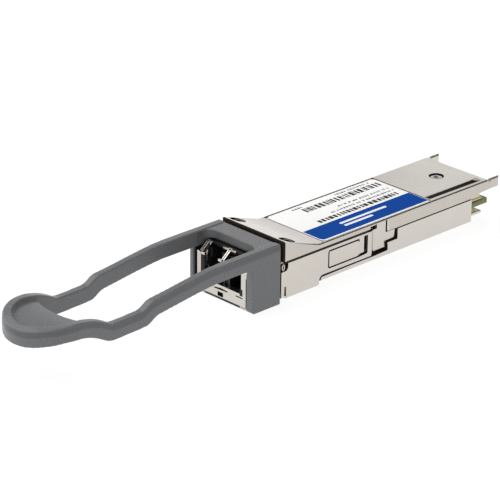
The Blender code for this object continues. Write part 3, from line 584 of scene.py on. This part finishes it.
def build_pull_tab():
    """Moulded frame, arms and finger ring, merged into one skin with soft fillets."""
    outer = HALF_WIDTH
    inner = outer - TAB_WALL
    half = TAB_WALL / 2
    middle = outer - half
    shape = bmesh.new()

    stations = 110
    ys = [FRAME_REAR + (RING_CENTRE - FRAME_REAR) * i / stations for i in range(stations)]
    line = [((middle, y), (1, 0)) for y in ys]
    ring_steps = 72
    for step in range(ring_steps + 1):
        turn = math.radians(-180 * step / ring_steps)
        u, v = math.cos(turn), math.sin(turn)
        line.append(((middle * u, RING_CENTRE + middle * v), (u, v)))
    line += [((-middle, y), (-1, 0)) for y in reversed(ys)]
    crisp = CRISP_EDGE
    section = [
        (half - SHOULDER_WIDTH * (1 - a), TAB_HEIGHT - SHOULDER_HEIGHT * (1 - b))
        for a, b in arc((0, 0), 1, 0, 90, 10)
    ]
    section += arc((crisp - half, TAB_HEIGHT - crisp), crisp, 90, 180, 3)
    section += arc((crisp - half, crisp), crisp, 180, 270, 2)
    section += arc((half - crisp, crisp), crisp, 270, 360, 2)
    add_tab_bar(shape, line, section)

    leg_top = TAB_TOP - TAB_HEIGHT
    leg_root = leg_top + 1.0
    leg_edge = 0.06

    def leg_side(front):
        """Side view of one leg of the frame, from its rear edge to a front edge."""
        corner = LEG_CORNER
        outline = [(FRAME_REAR, FRAME_BOTTOM), (FRAME_REAR, leg_root), (front - LEG_FILLET, leg_root)]
        outline += arc((front - LEG_FILLET, leg_top - LEG_FILLET), LEG_FILLET, 90, 0, 6)
        return outline + arc((front + corner, FRAME_BOTTOM + corner), corner, 180, 270, 6)

    rear_half = [(FRAME_REAR, FRAME_BOTTOM), (FRAME_REAR, leg_root)]
    rear_half += [(FAR_RELIEF_REAR, leg_root), (FAR_RELIEF_REAR, FRAME_BOTTOM)]
    add_plate(shape, [leg_side(FRAME_FRONT)], "YZ", inner, outer, leg_edge)
    add_plate(shape, [leg_side(FAR_FRONT)], "YZ", -outer, FAR_LEG - outer, leg_edge)
    add_plate(shape, [rear_half], "YZ", -outer + 0.1, -inner, leg_edge)

    bar_front = WINDOW_REAR - WINDOW_RADIUS - 1.0
    reach = inner + 0.6
    centre_y = WINDOW_REAR - WINDOW_RADIUS
    bar = [(reach, bar_front), (reach, FRAME_REAR), (-reach, FRAME_REAR), (-reach, bar_front)]
    bar += [(-inner, bar_front)]
    bar += arc((WINDOW_RADIUS - inner, centre_y), WINDOW_RADIUS, 180, 90, 8)
    bar += arc((inner - WINDOW_RADIUS, centre_y), WINDOW_RADIUS, 90, 0, 8)
    bar += [(inner, bar_front)]
    add_plate(shape, [bar], "XY", TAB_TOP - FRAME_BAR, TAB_TOP, 0.12)

    pad_reach = inner + 0.4
    edge_angle = math.degrees(math.asin(pad_reach / PAD_EDGE_RADIUS))
    pad = arc((0, PAD_EDGE_CENTRE), PAD_EDGE_RADIUS, -90 - edge_angle, -90 + edge_angle, 24)
    pad += arc((0, RING_CENTRE), pad_reach, 0, -180, 48)
    floor = bmesh.new()
    add_plate(floor, [pad], "XY", 0.0, PAD_THICKNESS, 0.12)
    bmesh.ops.triangulate(floor, faces=floor.faces)
    slices, slice_length = 60, 0.35
    for step in range(1, slices):
        slice_at(floor, (0, TAB_FRONT + slice_length * step, 0), (0, 1, 0))
    for vert in floor.verts:
        vert.co.z += smooth_height(TAB_PROFILE, vert.co.y) - PAD_RECESS - PAD_THICKNESS
    merge(shape, floor)

    skin = through_modifiers(shape, (
        ("REMESH", {"mode": "VOXEL", "voxel_size": VOXEL}),
        ("SMOOTH", {"factor": 0.5, "iterations": 3}),
    ))
    tab = add_piece("pull_tab_moulding", skin, grey, "release", "tab_plastic", "pull_tab", angle=80)

    def beside_far_wall(x, y, z):
        return -8.4 < x < -7.2 and FRAME_FRONT + 0.25 < y < FRAME_REAR - 0.3 and z < leg_top - 0.5

    # The band along the top of the tab's outer side, painted darker as shade.
    def on_shaded_upper_side(x, y, z):
        reach = abs(x) if y > RING_CENTRE else math.hypot(x, y - RING_CENTRE)
        if reach < outer - 0.12:
            return False
        top = smooth_height(TAB_PROFILE, y)
        return top - SIDE_BAND < z < top - 0.16

    # The frame window's inner walls, painted darker as shade.
    def on_window_wall(x, y, z):
        in_window = abs(y - WINDOW_REAR + WINDOW_RADIUS / 2) < WINDOW_RADIUS
        return abs(x) < inner + 0.05 and in_window and z < TAB_TOP - 0.22

    paint(tab, shade, beside_far_wall)
    paint(tab, grey_painted_upper_shade, on_shaded_upper_side)
    paint(tab, grey_painted_window_shade, on_window_wall)

    mark = bmesh.new()
    turn = math.radians(GATE_MARK_BEARING)
    outward = Vector((math.cos(turn), math.sin(turn), 0))
    place = Vector((outer * math.cos(turn), RING_CENTRE + outer * math.sin(turn), 0))
    place.z = smooth_height(TAB_PROFILE, place.y) - 1.5
    add_disc(mark, GATE_MARK_RADIUS, -0.2, (0, 0, 0), 24)
    facing = outward.to_track_quat("Z", "Y").to_matrix().to_4x4()
    bmesh.ops.transform(mark, matrix=Matrix.Translation(place - outward * 0.05) @ facing, verts=mark.verts)
    add_piece("tab_gate_mark", mark, grey, "release", "tab_plastic")


def arm_outline():
    """One arm and its T shaped tip in side view, as (y, z) points from lower front to lower rear."""
    fillet = 1.1
    round_off = 0.3
    low = -8.8
    heel = 26.3
    outline = [(SLIDER_FRONT + 0.6, low), (SLIDER_FRONT, low), (STRIP_FRONT, -9.0), (STRIP_FRONT, -3.3)]
    outline += [(0.9, -3.2), (1.3, -2.6), (1.3, ARM_TOP), (TIP_FRONT, ARM_TOP), (TIP_FRONT, TIP_TOP)]
    outline += [(TIP_REAR, TIP_TOP), (TIP_REAR, -3.3), (TONGUE_REAR - 0.2, -3.3), (TONGUE_REAR, -3.5)]
    outline += [(TONGUE_REAR, -4.8), (TONGUE_REAR - 0.4, -5.2), (TIP_REAR, -5.2)]
    outline += arc((TIP_REAR - round_off, TIP_BOTTOM + round_off), round_off, 0, -90, 3)
    outline += [(heel, TIP_BOTTOM), (heel, ARM_BOTTOM)]
    return outline + arc((BRIDGE_REAR + fillet, ARM_BOTTOM - fillet), fillet, 90, 180, 6)


def groove_outline():
    """The thin C shaped cut round the arm's panel, and the wide slot that it runs into."""
    wide = 0.32
    top, bottom, front = -2.3, -6.4, 12.95
    slot_front, slot_rear, slot_top = 23.6, 24.72, -2.1
    outer = 0.5
    inner = outer - wide
    upper, lower = (front + outer, top - outer), (front + outer, bottom + outer)
    outline = [(22.2, top - 0.6), (22.2, top - 0.15), (22.0, top)]
    outline += arc(upper, outer, 90, 180, 4) + arc(lower, outer, 180, 270, 4)
    outline += [(22.2, bottom), (24.55, -6.25), (slot_rear, -6.05), (slot_rear, -2.2)]
    outline += [(24.62, slot_top), (23.7, slot_top), (slot_front, -2.2), (slot_front, -5.7)]
    outline += [(22.4, -5.75), (21.6, bottom + wide)]
    outline += arc(lower, inner, 270, 180, 4) + arc(upper, inner, 180, 90, 4)
    return outline + [(21.8, top - wide), (21.9, top - 0.36), (21.9, top - 0.6)]


def build_latch_slider():
    """One stamped sheet: drawn flat with its cuts, then folded up round the nose and jogged at the tips."""
    arm_x = HALF_WIDTH - SHEET / 2
    flat_half = arm_x - FOLD_RADIUS
    quarter = FOLD_RADIUS * math.pi / 2
    fold_top = NOSE_BOTTOM + SHEET / 2 + FOLD_RADIUS

    def across(z):
        """Distance from the blank's centre line of a point at height z on an arm."""
        return flat_half + quarter + z - fold_top

    blank = [(flat_half - 0.3, SLIDER_FRONT + 0.6)] + [(across(z), y) for y, z in arm_outline()]
    blank.append((flat_half + 0.5, BRIDGE_REAR))
    mirrored = [(-s, y) for s, y in reversed(blank)]
    loops = [blank + mirrored]
    slit = [(0.25, -6.7), (0.7, -6.7), (0.7, -8.7), (0.25, -8.7)]
    for side in (-1, 1):
        for cut in (groove_outline(), slit):
            loops.append([(side * across(z), y) for y, z in cut])
    shape = bmesh.new()
    add_plate(shape, loops, "XY", -SHEET / 2, SHEET / 2, 0.06)
    bmesh.ops.triangulate(shape, faces=shape.faces)

    steps = 8
    for step in range(steps + 1):
        for side in (-1, 1):
            slice_at(shape, (side * (flat_half + quarter * step / steps), 0, 0), (1, 0, 0))
        slice_at(shape, (0, JOG_FRONT + JOG_LENGTH * step / steps, 0), (0, 1, 0))
    for vert in shape.verts:
        s, y, n = vert.co
        side = 1 if s > 0 else -1
        s = abs(s)
        if s <= flat_half:
            x, z = s, NOSE_BOTTOM + SHEET / 2 - n
        elif s <= flat_half + quarter:
            turn = (s - flat_half) / FOLD_RADIUS
            x = flat_half + (FOLD_RADIUS + n) * math.sin(turn)
            z = fold_top - (FOLD_RADIUS + n) * math.cos(turn)
        else:
            x, z = arm_x + n, fold_top + s - flat_half - quarter
        t = min(max((y - JOG_FRONT) / JOG_LENGTH, 0), 1)
        x -= JOG_DEPTH * t * t * (3 - 2 * t)
        vert.co = (side * x, y, z)

    hook_front = SPRING_REAR + 0.3
    hook_inner = HALF_WIDTH - TAB_WALL / 2 - 0.2
    loop_y, loop_z, loop_wire = 0.12, -2.4, 0.13
    for side in (-1, 1):
        add_side_block(
            shape, side, (arm_x + 0.1, SPRING_X - 0.7), (hook_front, hook_front + SHEET),
            (SPRING_Z - 1.0, SPRING_Z + 1.0), 0.1,
        )
        add_side_block(
            shape, side, (hook_inner, arm_x), (SLIDER_FRONT + 0.1, SLIDER_FRONT + SHEET), (-8.8, -3.4), 0.08,
        )
        loop = []
        for step in range(16):
            turn = step * math.pi / 8
            y, z = loop_y + 0.3 * math.cos(turn), loop_z + 0.65 * math.sin(turn)
            loop.append((side * (arm_x - 0.02), y, z))
        add_tube(shape, loop, loop_wire, cyclic=True)
    latch = add_piece("latch_sheet", shape, sheet, "release", "stamped_stainless_sheet", "latch_slider")

    def in_groove(x, y, z):
        return abs(abs(x) - arm_x) < SHEET / 2 - 0.05 and 12.5 < y < 25.2 and -6.8 < z < -1.9

    paint(latch, recess, in_groove)
    # Dark blocks behind the loops: painted shadow round them.
    backs = bmesh.new()
    for side in (-1, 1):
        add_side_block(backs, side, (arm_x - 0.3, arm_x - 0.06), (-0.5, 0.85), (-3.25, -1.55), 0.05)
    add_piece("latch_loop_shadow_backs", backs, recess, "release", "stamped_stainless_sheet")


def build_springs():
    """Two coil springs, squeezed between the housing and the slider's inner tabs."""
    steps = SPRING_TURNS * 20
    for word, side in (("left", -1), ("right", 1)):
        path = []
        for step in range(steps + 1):
            t = step / steps
            angle = 2 * math.pi * SPRING_TURNS * t
            squeeze = t - math.sin(2 * math.pi * t) / (2 * math.pi) * 0.5
            y = SPRING_FRONT + SPRING_WIRE + (SPRING_REAR - SPRING_FRONT - 2 * SPRING_WIRE) * squeeze
            x = side * SPRING_X + SPRING_COIL * math.cos(angle)
            path.append((x, y, SPRING_Z + SPRING_COIL * math.sin(angle)))
        shape = bmesh.new()
        add_tube(shape, path, SPRING_WIRE)
        name = f"return_spring_{word}"
        coil = add_piece(f"{name}_coil", shape, wire, "module", "spring_wire", name)
        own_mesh(coil)


def build_screws():
    """Cover screws with six-lobed sockets, rounded heads and thread crests, each in a dark seal ring that
    paints the shade in its counterbore; the front two have near-black steel as painted shade.
    """
    head, lobes = SCREW_HEAD, SCREW_LOBES
    pitch = 0.55
    turns = [2 * math.pi * i / lobes for i in range(lobes)]
    rim = [(0.62 + 0.09 * math.cos(6 * turn)) for turn in turns]
    levels = []
    for grow, height in ((0.0, head - 0.5), (0.0, head - 0.05), (0.05, head)):
        levels.append([(radius + grow, height) for radius in rim])
    outside = [(1.15, head), (1.3, head - 0.06), (1.35, head - 0.2), (1.35, 0.05), (1.3, 0.0), (0.55, 0.0)]
    for step in range(9):
        outside += [(0.52, -0.5 - pitch * step), (0.6, -0.7 - pitch * step)]
    for point in outside + [(0.3, -5.4)]:
        levels.append([point] * lobes)
    # A dark ring round each head, standing in for the shade in its counterbore.
    shade_seal = [(1.37, 0.0), (1.66, 0.0), (1.66, 0.45), (1.5, 0.56), (1.37, 0.4), (1.37, 0.0)]

    for name, (x, y, top) in SCREWS.items():
        base = top - SEAT_DEPTH + SCREW_LIFT
        shape = bmesh.new()
        loops = []
        for level in levels:
            loops.append([
                shape.verts.new((x + r * math.cos(turn), y + r * math.sin(turn), base + h))
                for turn, (r, h) in zip(turns, level)
            ])
        shape.faces.new(loops[0])
        shape.faces.new(list(reversed(loops[-1])))
        for lower, upper in zip(loops, loops[1:]):
            for i in range(lobes):
                j = (i + 1) % lobes
                shape.faces.new((lower[i], lower[j], upper[j], upper[i]))
        bmesh.ops.recalc_face_normals(shape, faces=shape.faces)
        # The front screws get the near-black steel as painted shade.
        surface = steel if name == "cover_screw_rear" else front_screw_shade_steel
        add_piece(f"{name}_thread", shape, surface, "module", "screw_steel", name, angle=30)
        ring = bmesh.new()
        add_turned(ring, shade_seal, (x, y, base), 40)
        add_piece(f"{name}_seal", ring, gasket_shade_elastomer, "module", "gasket_elastomer")


def build_shell(name, node, edge, painted):
    """A housing's shape with its long outer edges rounded, and its recesses shaded."""
    shape = bmesh.new()
    shape.from_mesh(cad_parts[node].data)
    bmesh.ops.scale(shape, verts=shape.verts, vec=(1 / MM, 1 / MM, 1 / MM))
    bmesh.ops.translate(shape, verts=shape.verts, vec=-DATUM)
    bmesh.ops.remove_doubles(shape, verts=shape.verts, dist=0.002)
    bmesh.ops.dissolve_limit(shape, angle_limit=math.radians(0.5), verts=shape.verts, edges=shape.edges)
    sharp = math.radians(50)
    rounded = [
        line for line in shape.edges
        if line.is_manifold and line.calc_face_angle_signed() > sharp and line.calc_length() > LONG_EDGE
        and not all(abs(vert.co.z - SEAM_REAR) < 0.4 for vert in line.verts)
    ]
    bmesh.ops.bevel(
        shape, geom=rounded, offset=edge, segments=1, profile=0.5, affect="EDGES", clamp_overlap=False,
    )
    slice_at(shape, (0, DARK_LIP, 0), (0, 1, 0))
    shell = add_piece(name, shape, zinc, "module", "nickel_plated_zinc", node, angle=30)
    weigh_normals(shell)
    for surface, chosen in painted:
        paint(shell, surface, chosen)


def build_housings():
    """Both shells, with rounded edges, shaded recesses and painted shade on the upper shell's sides, and dark
    gasket strips in their seams that also paint the shade in the seam gaps.
    """

    # The upper shell's side faces get the darker zinc: painted shade.
    def on_shaded_upper_side(x, y, z):
        return abs(x) > HALF_WIDTH - 0.02 or (y > 59.5 and abs(x) > 7.9 and z > -0.6)

    def in_pocket(x, y, z):
        return 44.8 < y < 61.3 and 6.4 < x < 8.15 and -0.75 < z < -0.05

    def in_upper_recess(x, y, z):
        if y < DARK_LIP and z > SEAM_FRONT - 0.25:
            return True
        if y < ROOF_FRONT + 0.6 and z < ROOF_TOP + 0.3:
            return True
        for cx, cy, top in SCREWS.values():
            if math.hypot(x - cx, y - cy) < SEAT_RADIUS and z < top - 0.05:
                return True
        return 7.9 < abs(x) < 9.12 and -1.3 < z < -0.1 and 25.3 < y < 30.9

    def in_lower_recess(x, y, z):
        if abs(x) < 6.2 and NOSE_FRONT + 0.02 < y < NOSE_FRONT + 0.9 and z < -7.3:
            return True
        return 8.2 < abs(x) < 9.12 and z > -8.4 and 0.3 < y < 57.3

    build_shell("upper_shell", "upper_housing", 0.26, (
        (zinc_painted_side_shade, on_shaded_upper_side), (pocket, in_pocket), (recess, in_upper_recess),
    ))
    build_shell("lower_shell", "lower_housing", 0.15, ((recess, in_lower_recess),))
    # The pocket's end wall, in the darker zinc as painted shade.
    end = bmesh.new()
    add_rounded_block(end, (6.46, 60.3, -0.7), (8.09, 61.28, -0.03), 0.04)
    add_piece("pocket_end", end, zinc_painted_side_shade, "module", "nickel_plated_zinc")

    # Near-black gasket strips in the seams; their black also paints the shade in the seam gaps.
    for word, side in (("left", -1), ("right", 1)):
        shape = bmesh.new()
        for xs, ys, seam in (
            ((8.35, 8.95), (31.2, LOWER_REAR - 0.2), SEAM_REAR), ((7.7, 8.95), (0.6, 25.0), SEAM_FRONT),
        ):
            add_side_block(shape, side, xs, ys, (seam - 0.28, seam - 0.02), 0.06)
        gasket = f"seam_gasket_{word}"
        add_piece(f"{gasket}_strip", shape, gasket_shade_elastomer, "module", "gasket_elastomer", gasket)


def build_nose_trim():
    """Metal stems, ears and crossbars over the ports, and the black shroud round them."""
    shape = bmesh.new()
    slope = (ROOF_TOP - NOSE_LIP) / (ROOF_FRONT - NOSE_FRONT)
    half, start, end = 0.42, 0.25, 2.36
    stem = [
        (NOSE_FRONT + reach, NOSE_LIP + slope * reach + rise)
        for reach, rise in ((start, 0.12), (end, 0.12), (end, -0.3), (start, -0.3))
    ]
    for x in (-6.45, 0.0, 6.45):
        for side in (-1, 1):
            near, far = sorted((x + side * half, x + side * (half - 0.3)))
            add_plate(shape, [[(y, z + 0.16) for y, z in stem]], "YZ", near, far, 0.07)
        add_plate(shape, [stem], "YZ", x - half + 0.15, x + half - 0.15, 0.04)
        for side in (-1, 1):
            near = max(x + side * 0.7 - 0.55, -7.5)
            far = min(x + side * 0.7 + 0.55, 7.2)
            add_rounded_block(shape, (near, -8.62, -1.62), (far, -8.05, -1.0), 0.16)
    for x in (-7.2, -6.6):
        add_rounded_block(shape, (x - 0.3, -8.6, -9.5), (x + 0.3, -8.2, -1.3), 0.2)
    add_rounded_block(shape, (6.7, -8.5, -9.6), (6.95, -8.05, -3.1), 0.05)
    add_rounded_block(shape, (6.85, -8.5, -2.0), (7.2, -8.05, -1.4), 0.05)
    for side in (-1, 1):
        add_side_block(shape, side, (5.2, 7.2), (-8.5, -7.6), (-10.1, -9.5), 0.08)
    for side in (-1, 1):
        add_side_block(shape, side, (0.1, 1.9), (-6.6, -5.85), (0.48, 0.82), 0.1)
        add_side_block(shape, side, (6.9, 5.05), (-6.6, -5.95), (0.48, 0.82), 0.1)
        add_side_block(shape, side, (5.4, 5.05), (-6.95, -6.2), (0.25, 0.8), 0.1)
    add_piece("port_frame_stems", shape, sheet, "module", "nickel_plated_zinc")

    shroud = bmesh.new()
    add_rounded_block(shroud, (-6.9, ROOF_FRONT - 0.15, 0.6), (6.9, -0.35, 0.78), 0.06)
    add_rounded_block(shroud, (-6.3, NOSE_FRONT - 0.06, -7.3), (-5.2, NOSE_FRONT + 0.3, -1.5), 0.04)
    add_rounded_block(shroud, (5.2, NOSE_FRONT - 0.06, -7.2), (5.95, NOSE_FRONT + 0.3, -5.75), 0.04)
    add_rounded_block(shroud, (-5.2, NOSE_FRONT + 0.05, -10.0), (5.2, NOSE_FRONT + 0.9, -9.5), 0.06)
    cover = [
        (NOSE_FRONT + 0.12, NOSE_LIP + 0.17), (ROOF_FRONT + 0.1, ROOF_TOP + 0.09),
        (ROOF_FRONT + 0.1, ROOF_TOP - 0.1), (NOSE_FRONT + 0.12, NOSE_LIP - 0.05),
    ]
    for side in (-1, 1):
        near, far = sorted((side * 5.35, side * 7.0))
        add_plate(shroud, [cover], "YZ", near, far, 0.03)
    add_rounded_block(shroud, (6.97, -8.55, -9.6), (7.22, -8.05, -3.4), 0.04)
    add_piece("port_shroud", shroud, black, "module", "insert_plastic")


def build_port_insert():
    """The receptacle itself, and a glossy rounded rim round each port."""
    insert = dress("port_insert", black, 0.15)
    shape = bmesh.new()
    half = PORT_WIDTH / 2 + 0.05
    corner, corner_z, top = 0.5, -6.75, -4.2
    for side in (-1, 1):
        x = side * PORT_PITCH / 2
        rim = [(x - half, top)] + arc((x - half + corner, corner_z), corner, 180, 270, 5)
        rim += arc((x + half - corner, corner_z), corner, 270, 360, 5) + [(x + half, top)]
        add_tube(shape, [(a, -7.1, b) for a, b in rim], 0.2)
    add_piece("port_rims", shape, black_rim, "module", "insert_plastic")


def add_print(shape, x0, x1, y0, y1):
    """Adds one printed patch to the label, just above the paper."""
    add_block(shape, (x0, y0, LABEL_TOP - INK), (x1, y1, LABEL_TOP + 0.006))


def add_print_column(shape, pattern, columns, start, end, lengths, gaps):
    """Adds patches down the label, with lengths and gaps drawn from a pattern."""
    y = start
    while y < end:
        length = pattern.choice(lengths)
        add_print(shape, *columns, y, y + length)
        y += length + pattern.choice(gaps)


def build_label():
    """Adhesive label with a blue band and generic printed patches instead of words."""
    centre = ((LABEL_NEAR + LABEL_FAR) / 2, (LABEL_FRONT + LABEL_REAR) / 2)
    shape = bmesh.new()
    outline = rounded_rectangle(LABEL_NEAR - LABEL_FAR, LABEL_REAR - LABEL_FRONT, 0.9, 8, centre)
    add_plate(shape, [outline], "XY", LABEL_TOP - 0.14, LABEL_TOP, 0.02)
    add_piece("label_sheet", shape, paper, "module", "label_paper", "product_label")

    band = bmesh.new()
    low, high = 2.5, 8.28
    corner = arc((high - 0.9, LABEL_FRONT + 1.0), 0.9, -90, 0, 6)
    outline = [(low, LABEL_FRONT + 0.1)] + corner + [(high, LABEL_REAR - 0.12), (low, LABEL_REAR - 0.12)]
    add_plate(band, [outline], "XY", LABEL_TOP - INK, LABEL_TOP + INK)
    add_piece("label_band", band, blue_ink, "module", "label_paper")

    white = bmesh.new()
    for x, length in ((4.5, 14.0), (5.9, 8.5)):
        bar = rounded_rectangle(0.75, length, 0.3, 4, (x, 21.0 + length / 2))
        add_plate(white, [bar], "XY", LABEL_TOP, LABEL_TOP + 0.016)
    add_piece("label_band_marks", white, white_ink, "module", "label_paper")

    dark = bmesh.new()
    pattern = random.Random(7)
    add_print_column(dark, pattern, (0.25, 1.65), 18.3, 42.6, (0.55, 0.8, 1.05), (0.3, 0.3, 0.45))
    add_print_column(
        dark, pattern, (-6.35, -4.35), 20.3, 43.2, (0.3, 0.4, 0.6, 0.9), (0.2, 0.25, 0.35, 0.5),
    )
    add_piece("label_dark_print", dark, black_ink, "module", "label_paper")

    faint = bmesh.new()
    rows = ((-0.85, 24.0, 43.0), (-2.35, 27.5, 43.0), (-7.25, 31.5, 42.5), (-7.15, 18.6, 21.4))
    for row, start, end in rows:
        y = start
        while y < end:
            length = pattern.choice((0.3, 0.45, 0.6))
            add_print(faint, row - 0.35, row + 0.25, y, min(y + length, end))
            y += length + pattern.choice((0.25, 0.3, 0.7))
    add_piece("label_faint_print", faint, grey_ink, "module", "label_paper")


def tin_from(piece, first):
    """Tins a piece's faces from the index first on."""
    piece.data.materials.append(tin)
    for face in piece.data.polygons:
        face.material_index = 0 if face.index < first else 1


def build_board():
    """The circuit board with its gold fingers, and detailed chips, inductors and capacitors."""
    dress("main_board", laminate, 0.06)
    for name in ("card_contacts_top", "card_contacts_bottom"):
        dress(name, gold)

    pitch, lead = 0.5, 0.3
    for name in ("laser_driver_chip", "receiver_chip", "controller_chip", "power_chip", "clock_chip"):
        low, high = in_datum(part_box(name))
        shape = bmesh.new()
        add_rounded_block(shape, low + Vector((0.12, 0.12, 0.05)), high - Vector((0.12, 0.12, 0)), 0.08)
        add_disc(shape, 0.2, 0.012, (low.x + 0.6, low.y + 0.6, high.z - 0.002), 20)
        body_faces = len(shape.faces)
        for axis, other in ((0, 1), (1, 0)):
            count = int((high[axis] - low[axis] - 0.8) / pitch)
            start = (low[axis] + high[axis] - pitch * (count - 1)) / 2
            for index in range(count):
                along = start + pitch * index
                for edge, inward in ((low, lead), (high, -lead)):
                    first = [0, 0, low.z]
                    last = [0, 0, low.z + 0.15]
                    first[axis], last[axis] = along - 0.12, along + 0.12
                    first[other], last[other] = sorted((edge[other], edge[other] + inward))
                    add_block(shape, first, last)
        piece = add_piece(f"{name}_package", shape, epoxy, "module", "chip_epoxy", name)
        tin_from(piece, body_faces)

    for index in (1, 2):
        name = f"filter_inductor_{index}"
        low, high = in_datum(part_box(name))
        shape = bmesh.new()
        add_rounded_block(shape, low + Vector((0.25, 0, 0.05)), high - Vector((0.25, 0, 0)), 0.2, 3)
        body_faces = len(shape.faces)
        for x0, x1 in ((low.x, low.x + 0.35), (high.x - 0.35, high.x)):
            add_rounded_block(shape, (x0, low.y + 0.35, low.z), (x1, high.y - 0.35, low.z + 0.75), 0.05)
        piece = add_piece(f"{name}_coil", shape, epoxy, "module", "chip_epoxy", name)
        tin_from(piece, body_faces)

    for index in range(1, 5):
        name = f"capacitor_{index}"
        low, high = in_datum(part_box(name))
        shape = bmesh.new()
        add_rounded_block(shape, low + Vector((0.03, 0.2, 0.03)), high - Vector((0.03, 0.2, 0.03)), 0.04)
        body_faces = len(shape.faces)
        for y0, y1 in ((low.y, low.y + 0.32), (high.y - 0.32, high.y)):
            add_rounded_block(shape, (low.x, y0, low.z), (high.x, y1, high.z), 0.06)
        piece = add_piece(f"{name}_chip", shape, clay, "module", "capacitor_body", name)
        tin_from(piece, body_faces)


def build_optics():
    """Inner optical parts, thermal pads and the clamp that holds the optics down."""
    for word in ("transmit", "receive"):
        dress(f"{word}_assembly", gilt, 0.15)
        dress(f"{word}_sleeve", ceramic, 0.1)
        dress(f"{word}_flex", film, 0.03)
    for name in ("thermal_pad_upper", "thermal_pad_lower"):
        dress(name, gel, 0.25, 3)
    low, high = in_datum(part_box("optics_clamp"))
    middle = (low.y + high.y) / 2
    loops = [rounded_rectangle(high.x - low.x, high.y - low.y, 0.6, 5, (0, middle))]
    for side in (-1, 1):
        loops.append(rounded_rectangle(2.6, 1.6, 0.5, 5, (side * PORT_PITCH / 2, middle)))
    shape = bmesh.new()
    add_plate(shape, loops, "XY", low.z, high.z, 0.05)
    add_piece("optics_clamp_plate", shape, sheet, "module", "stamped_stainless_sheet", "optics_clamp")


def build_camera():
    """Camera aimed near the datum by azimuth, elevation and roll."""
    a, e, r = (math.radians(v) for v in (CAMERA_AZIMUTH, CAMERA_ELEVATION, CAMERA_ROLL))
    back = Vector((math.sin(a) * math.cos(e), -math.cos(a) * math.cos(e), math.sin(e)))
    level = Vector((math.cos(a), math.sin(a), 0))
    upright = back.cross(level)
    right = math.cos(r) * level + math.sin(r) * upright
    up = math.cos(r) * upright - math.sin(r) * level
    place = back * CAMERA_DISTANCE - right * CAMERA_SHIFT[0] - up * CAMERA_SHIFT[1]
    camera = bpy.data.cameras.new("camera")
    camera.lens = CAMERA_LENS
    camera.sensor_width = 36
    camera.clip_start = 0.05
    camera.clip_end = 20
    eye = bpy.data.objects.new("camera", camera)
    bpy.context.scene.collection.objects.link(eye)
    turn = Matrix((right, up, back)).transposed().to_4x4()
    eye.matrix_world = Matrix.Translation((place + DATUM) * MM) @ turn
    bpy.context.scene.camera = eye


def build_studio():
    """White sweep with a darker ceiling, one soft overhead lamp, and a pale floor."""
    scene = bpy.context.scene
    scene.view_settings.view_transform = "Standard"
    world = bpy.data.worlds.new("studio")
    scene.world = world
    world.use_nodes = True
    nodes, links = world.node_tree.nodes, world.node_tree.links
    where = nodes.new("ShaderNodeTexCoord")
    split = nodes.new("ShaderNodeSeparateXYZ")
    fade = nodes.new("ShaderNodeMapRange")
    fade.interpolation_type = "SMOOTHSTEP"
    fade.inputs["From Min"].default_value = math.sin(math.radians(CEILING_START))
    fade.inputs["From Max"].default_value = math.sin(math.radians(CEILING_END))
    fade.inputs["To Min"].default_value = WALL_LIGHT
    fade.inputs["To Max"].default_value = CEILING_LIGHT
    links.new(where.outputs["Generated"], split.inputs["Vector"])
    links.new(split.outputs["Z"], fade.inputs["Value"])
    links.new(fade.outputs["Result"], nodes["Background"].inputs["Strength"])
    nodes["Background"].inputs["Color"].default_value = (1, 1, 1, 1)

    lamp = bpy.data.lights.new("overhead", "AREA")
    lamp.shape = "DISK"
    lamp.size = LAMP_SIZE
    lamp.energy = LAMP_POWER
    lamp_object = bpy.data.objects.new("overhead", lamp)
    scene.collection.objects.link(lamp_object)
    lamp_object.location = LAMP_PLACE
    lamp_object.rotation_euler = Vector(LAMP_PLACE).to_track_quat("Z", "Y").to_euler()

    floor_mesh = bpy.data.meshes.new("floor")
    shape = bmesh.new()
    bmesh.ops.create_grid(shape, x_segments=2, y_segments=2, size=FLOOR_SIZE)
    shape.to_mesh(floor_mesh)
    shape.free()
    floor = bpy.data.objects.new("floor", floor_mesh)
    floor.location.z = -FLOOR_DROP
    scene.collection.objects.link(floor)
    card = plain_surface(
        "floor_card", (FLOOR_COLOUR,) * 3, 0.9, 0.0, 0.01, 5.0, 0.0, Specular_IOR_Level=0.0,
    )
    shader = card.node_tree.nodes["Principled BSDF"]
    shader.inputs["Emission Color"].default_value = (1, 1, 1, 1)
    shader.inputs["Emission Strength"].default_value = FLOOR_GLOW
    floor_mesh.materials.append(card)


build_camera()
build_studio()
build_pull_tab()
build_latch_slider()
build_springs()
build_housings()
build_screws()
build_nose_trim()
build_port_insert()
build_label()
build_board()
build_optics()
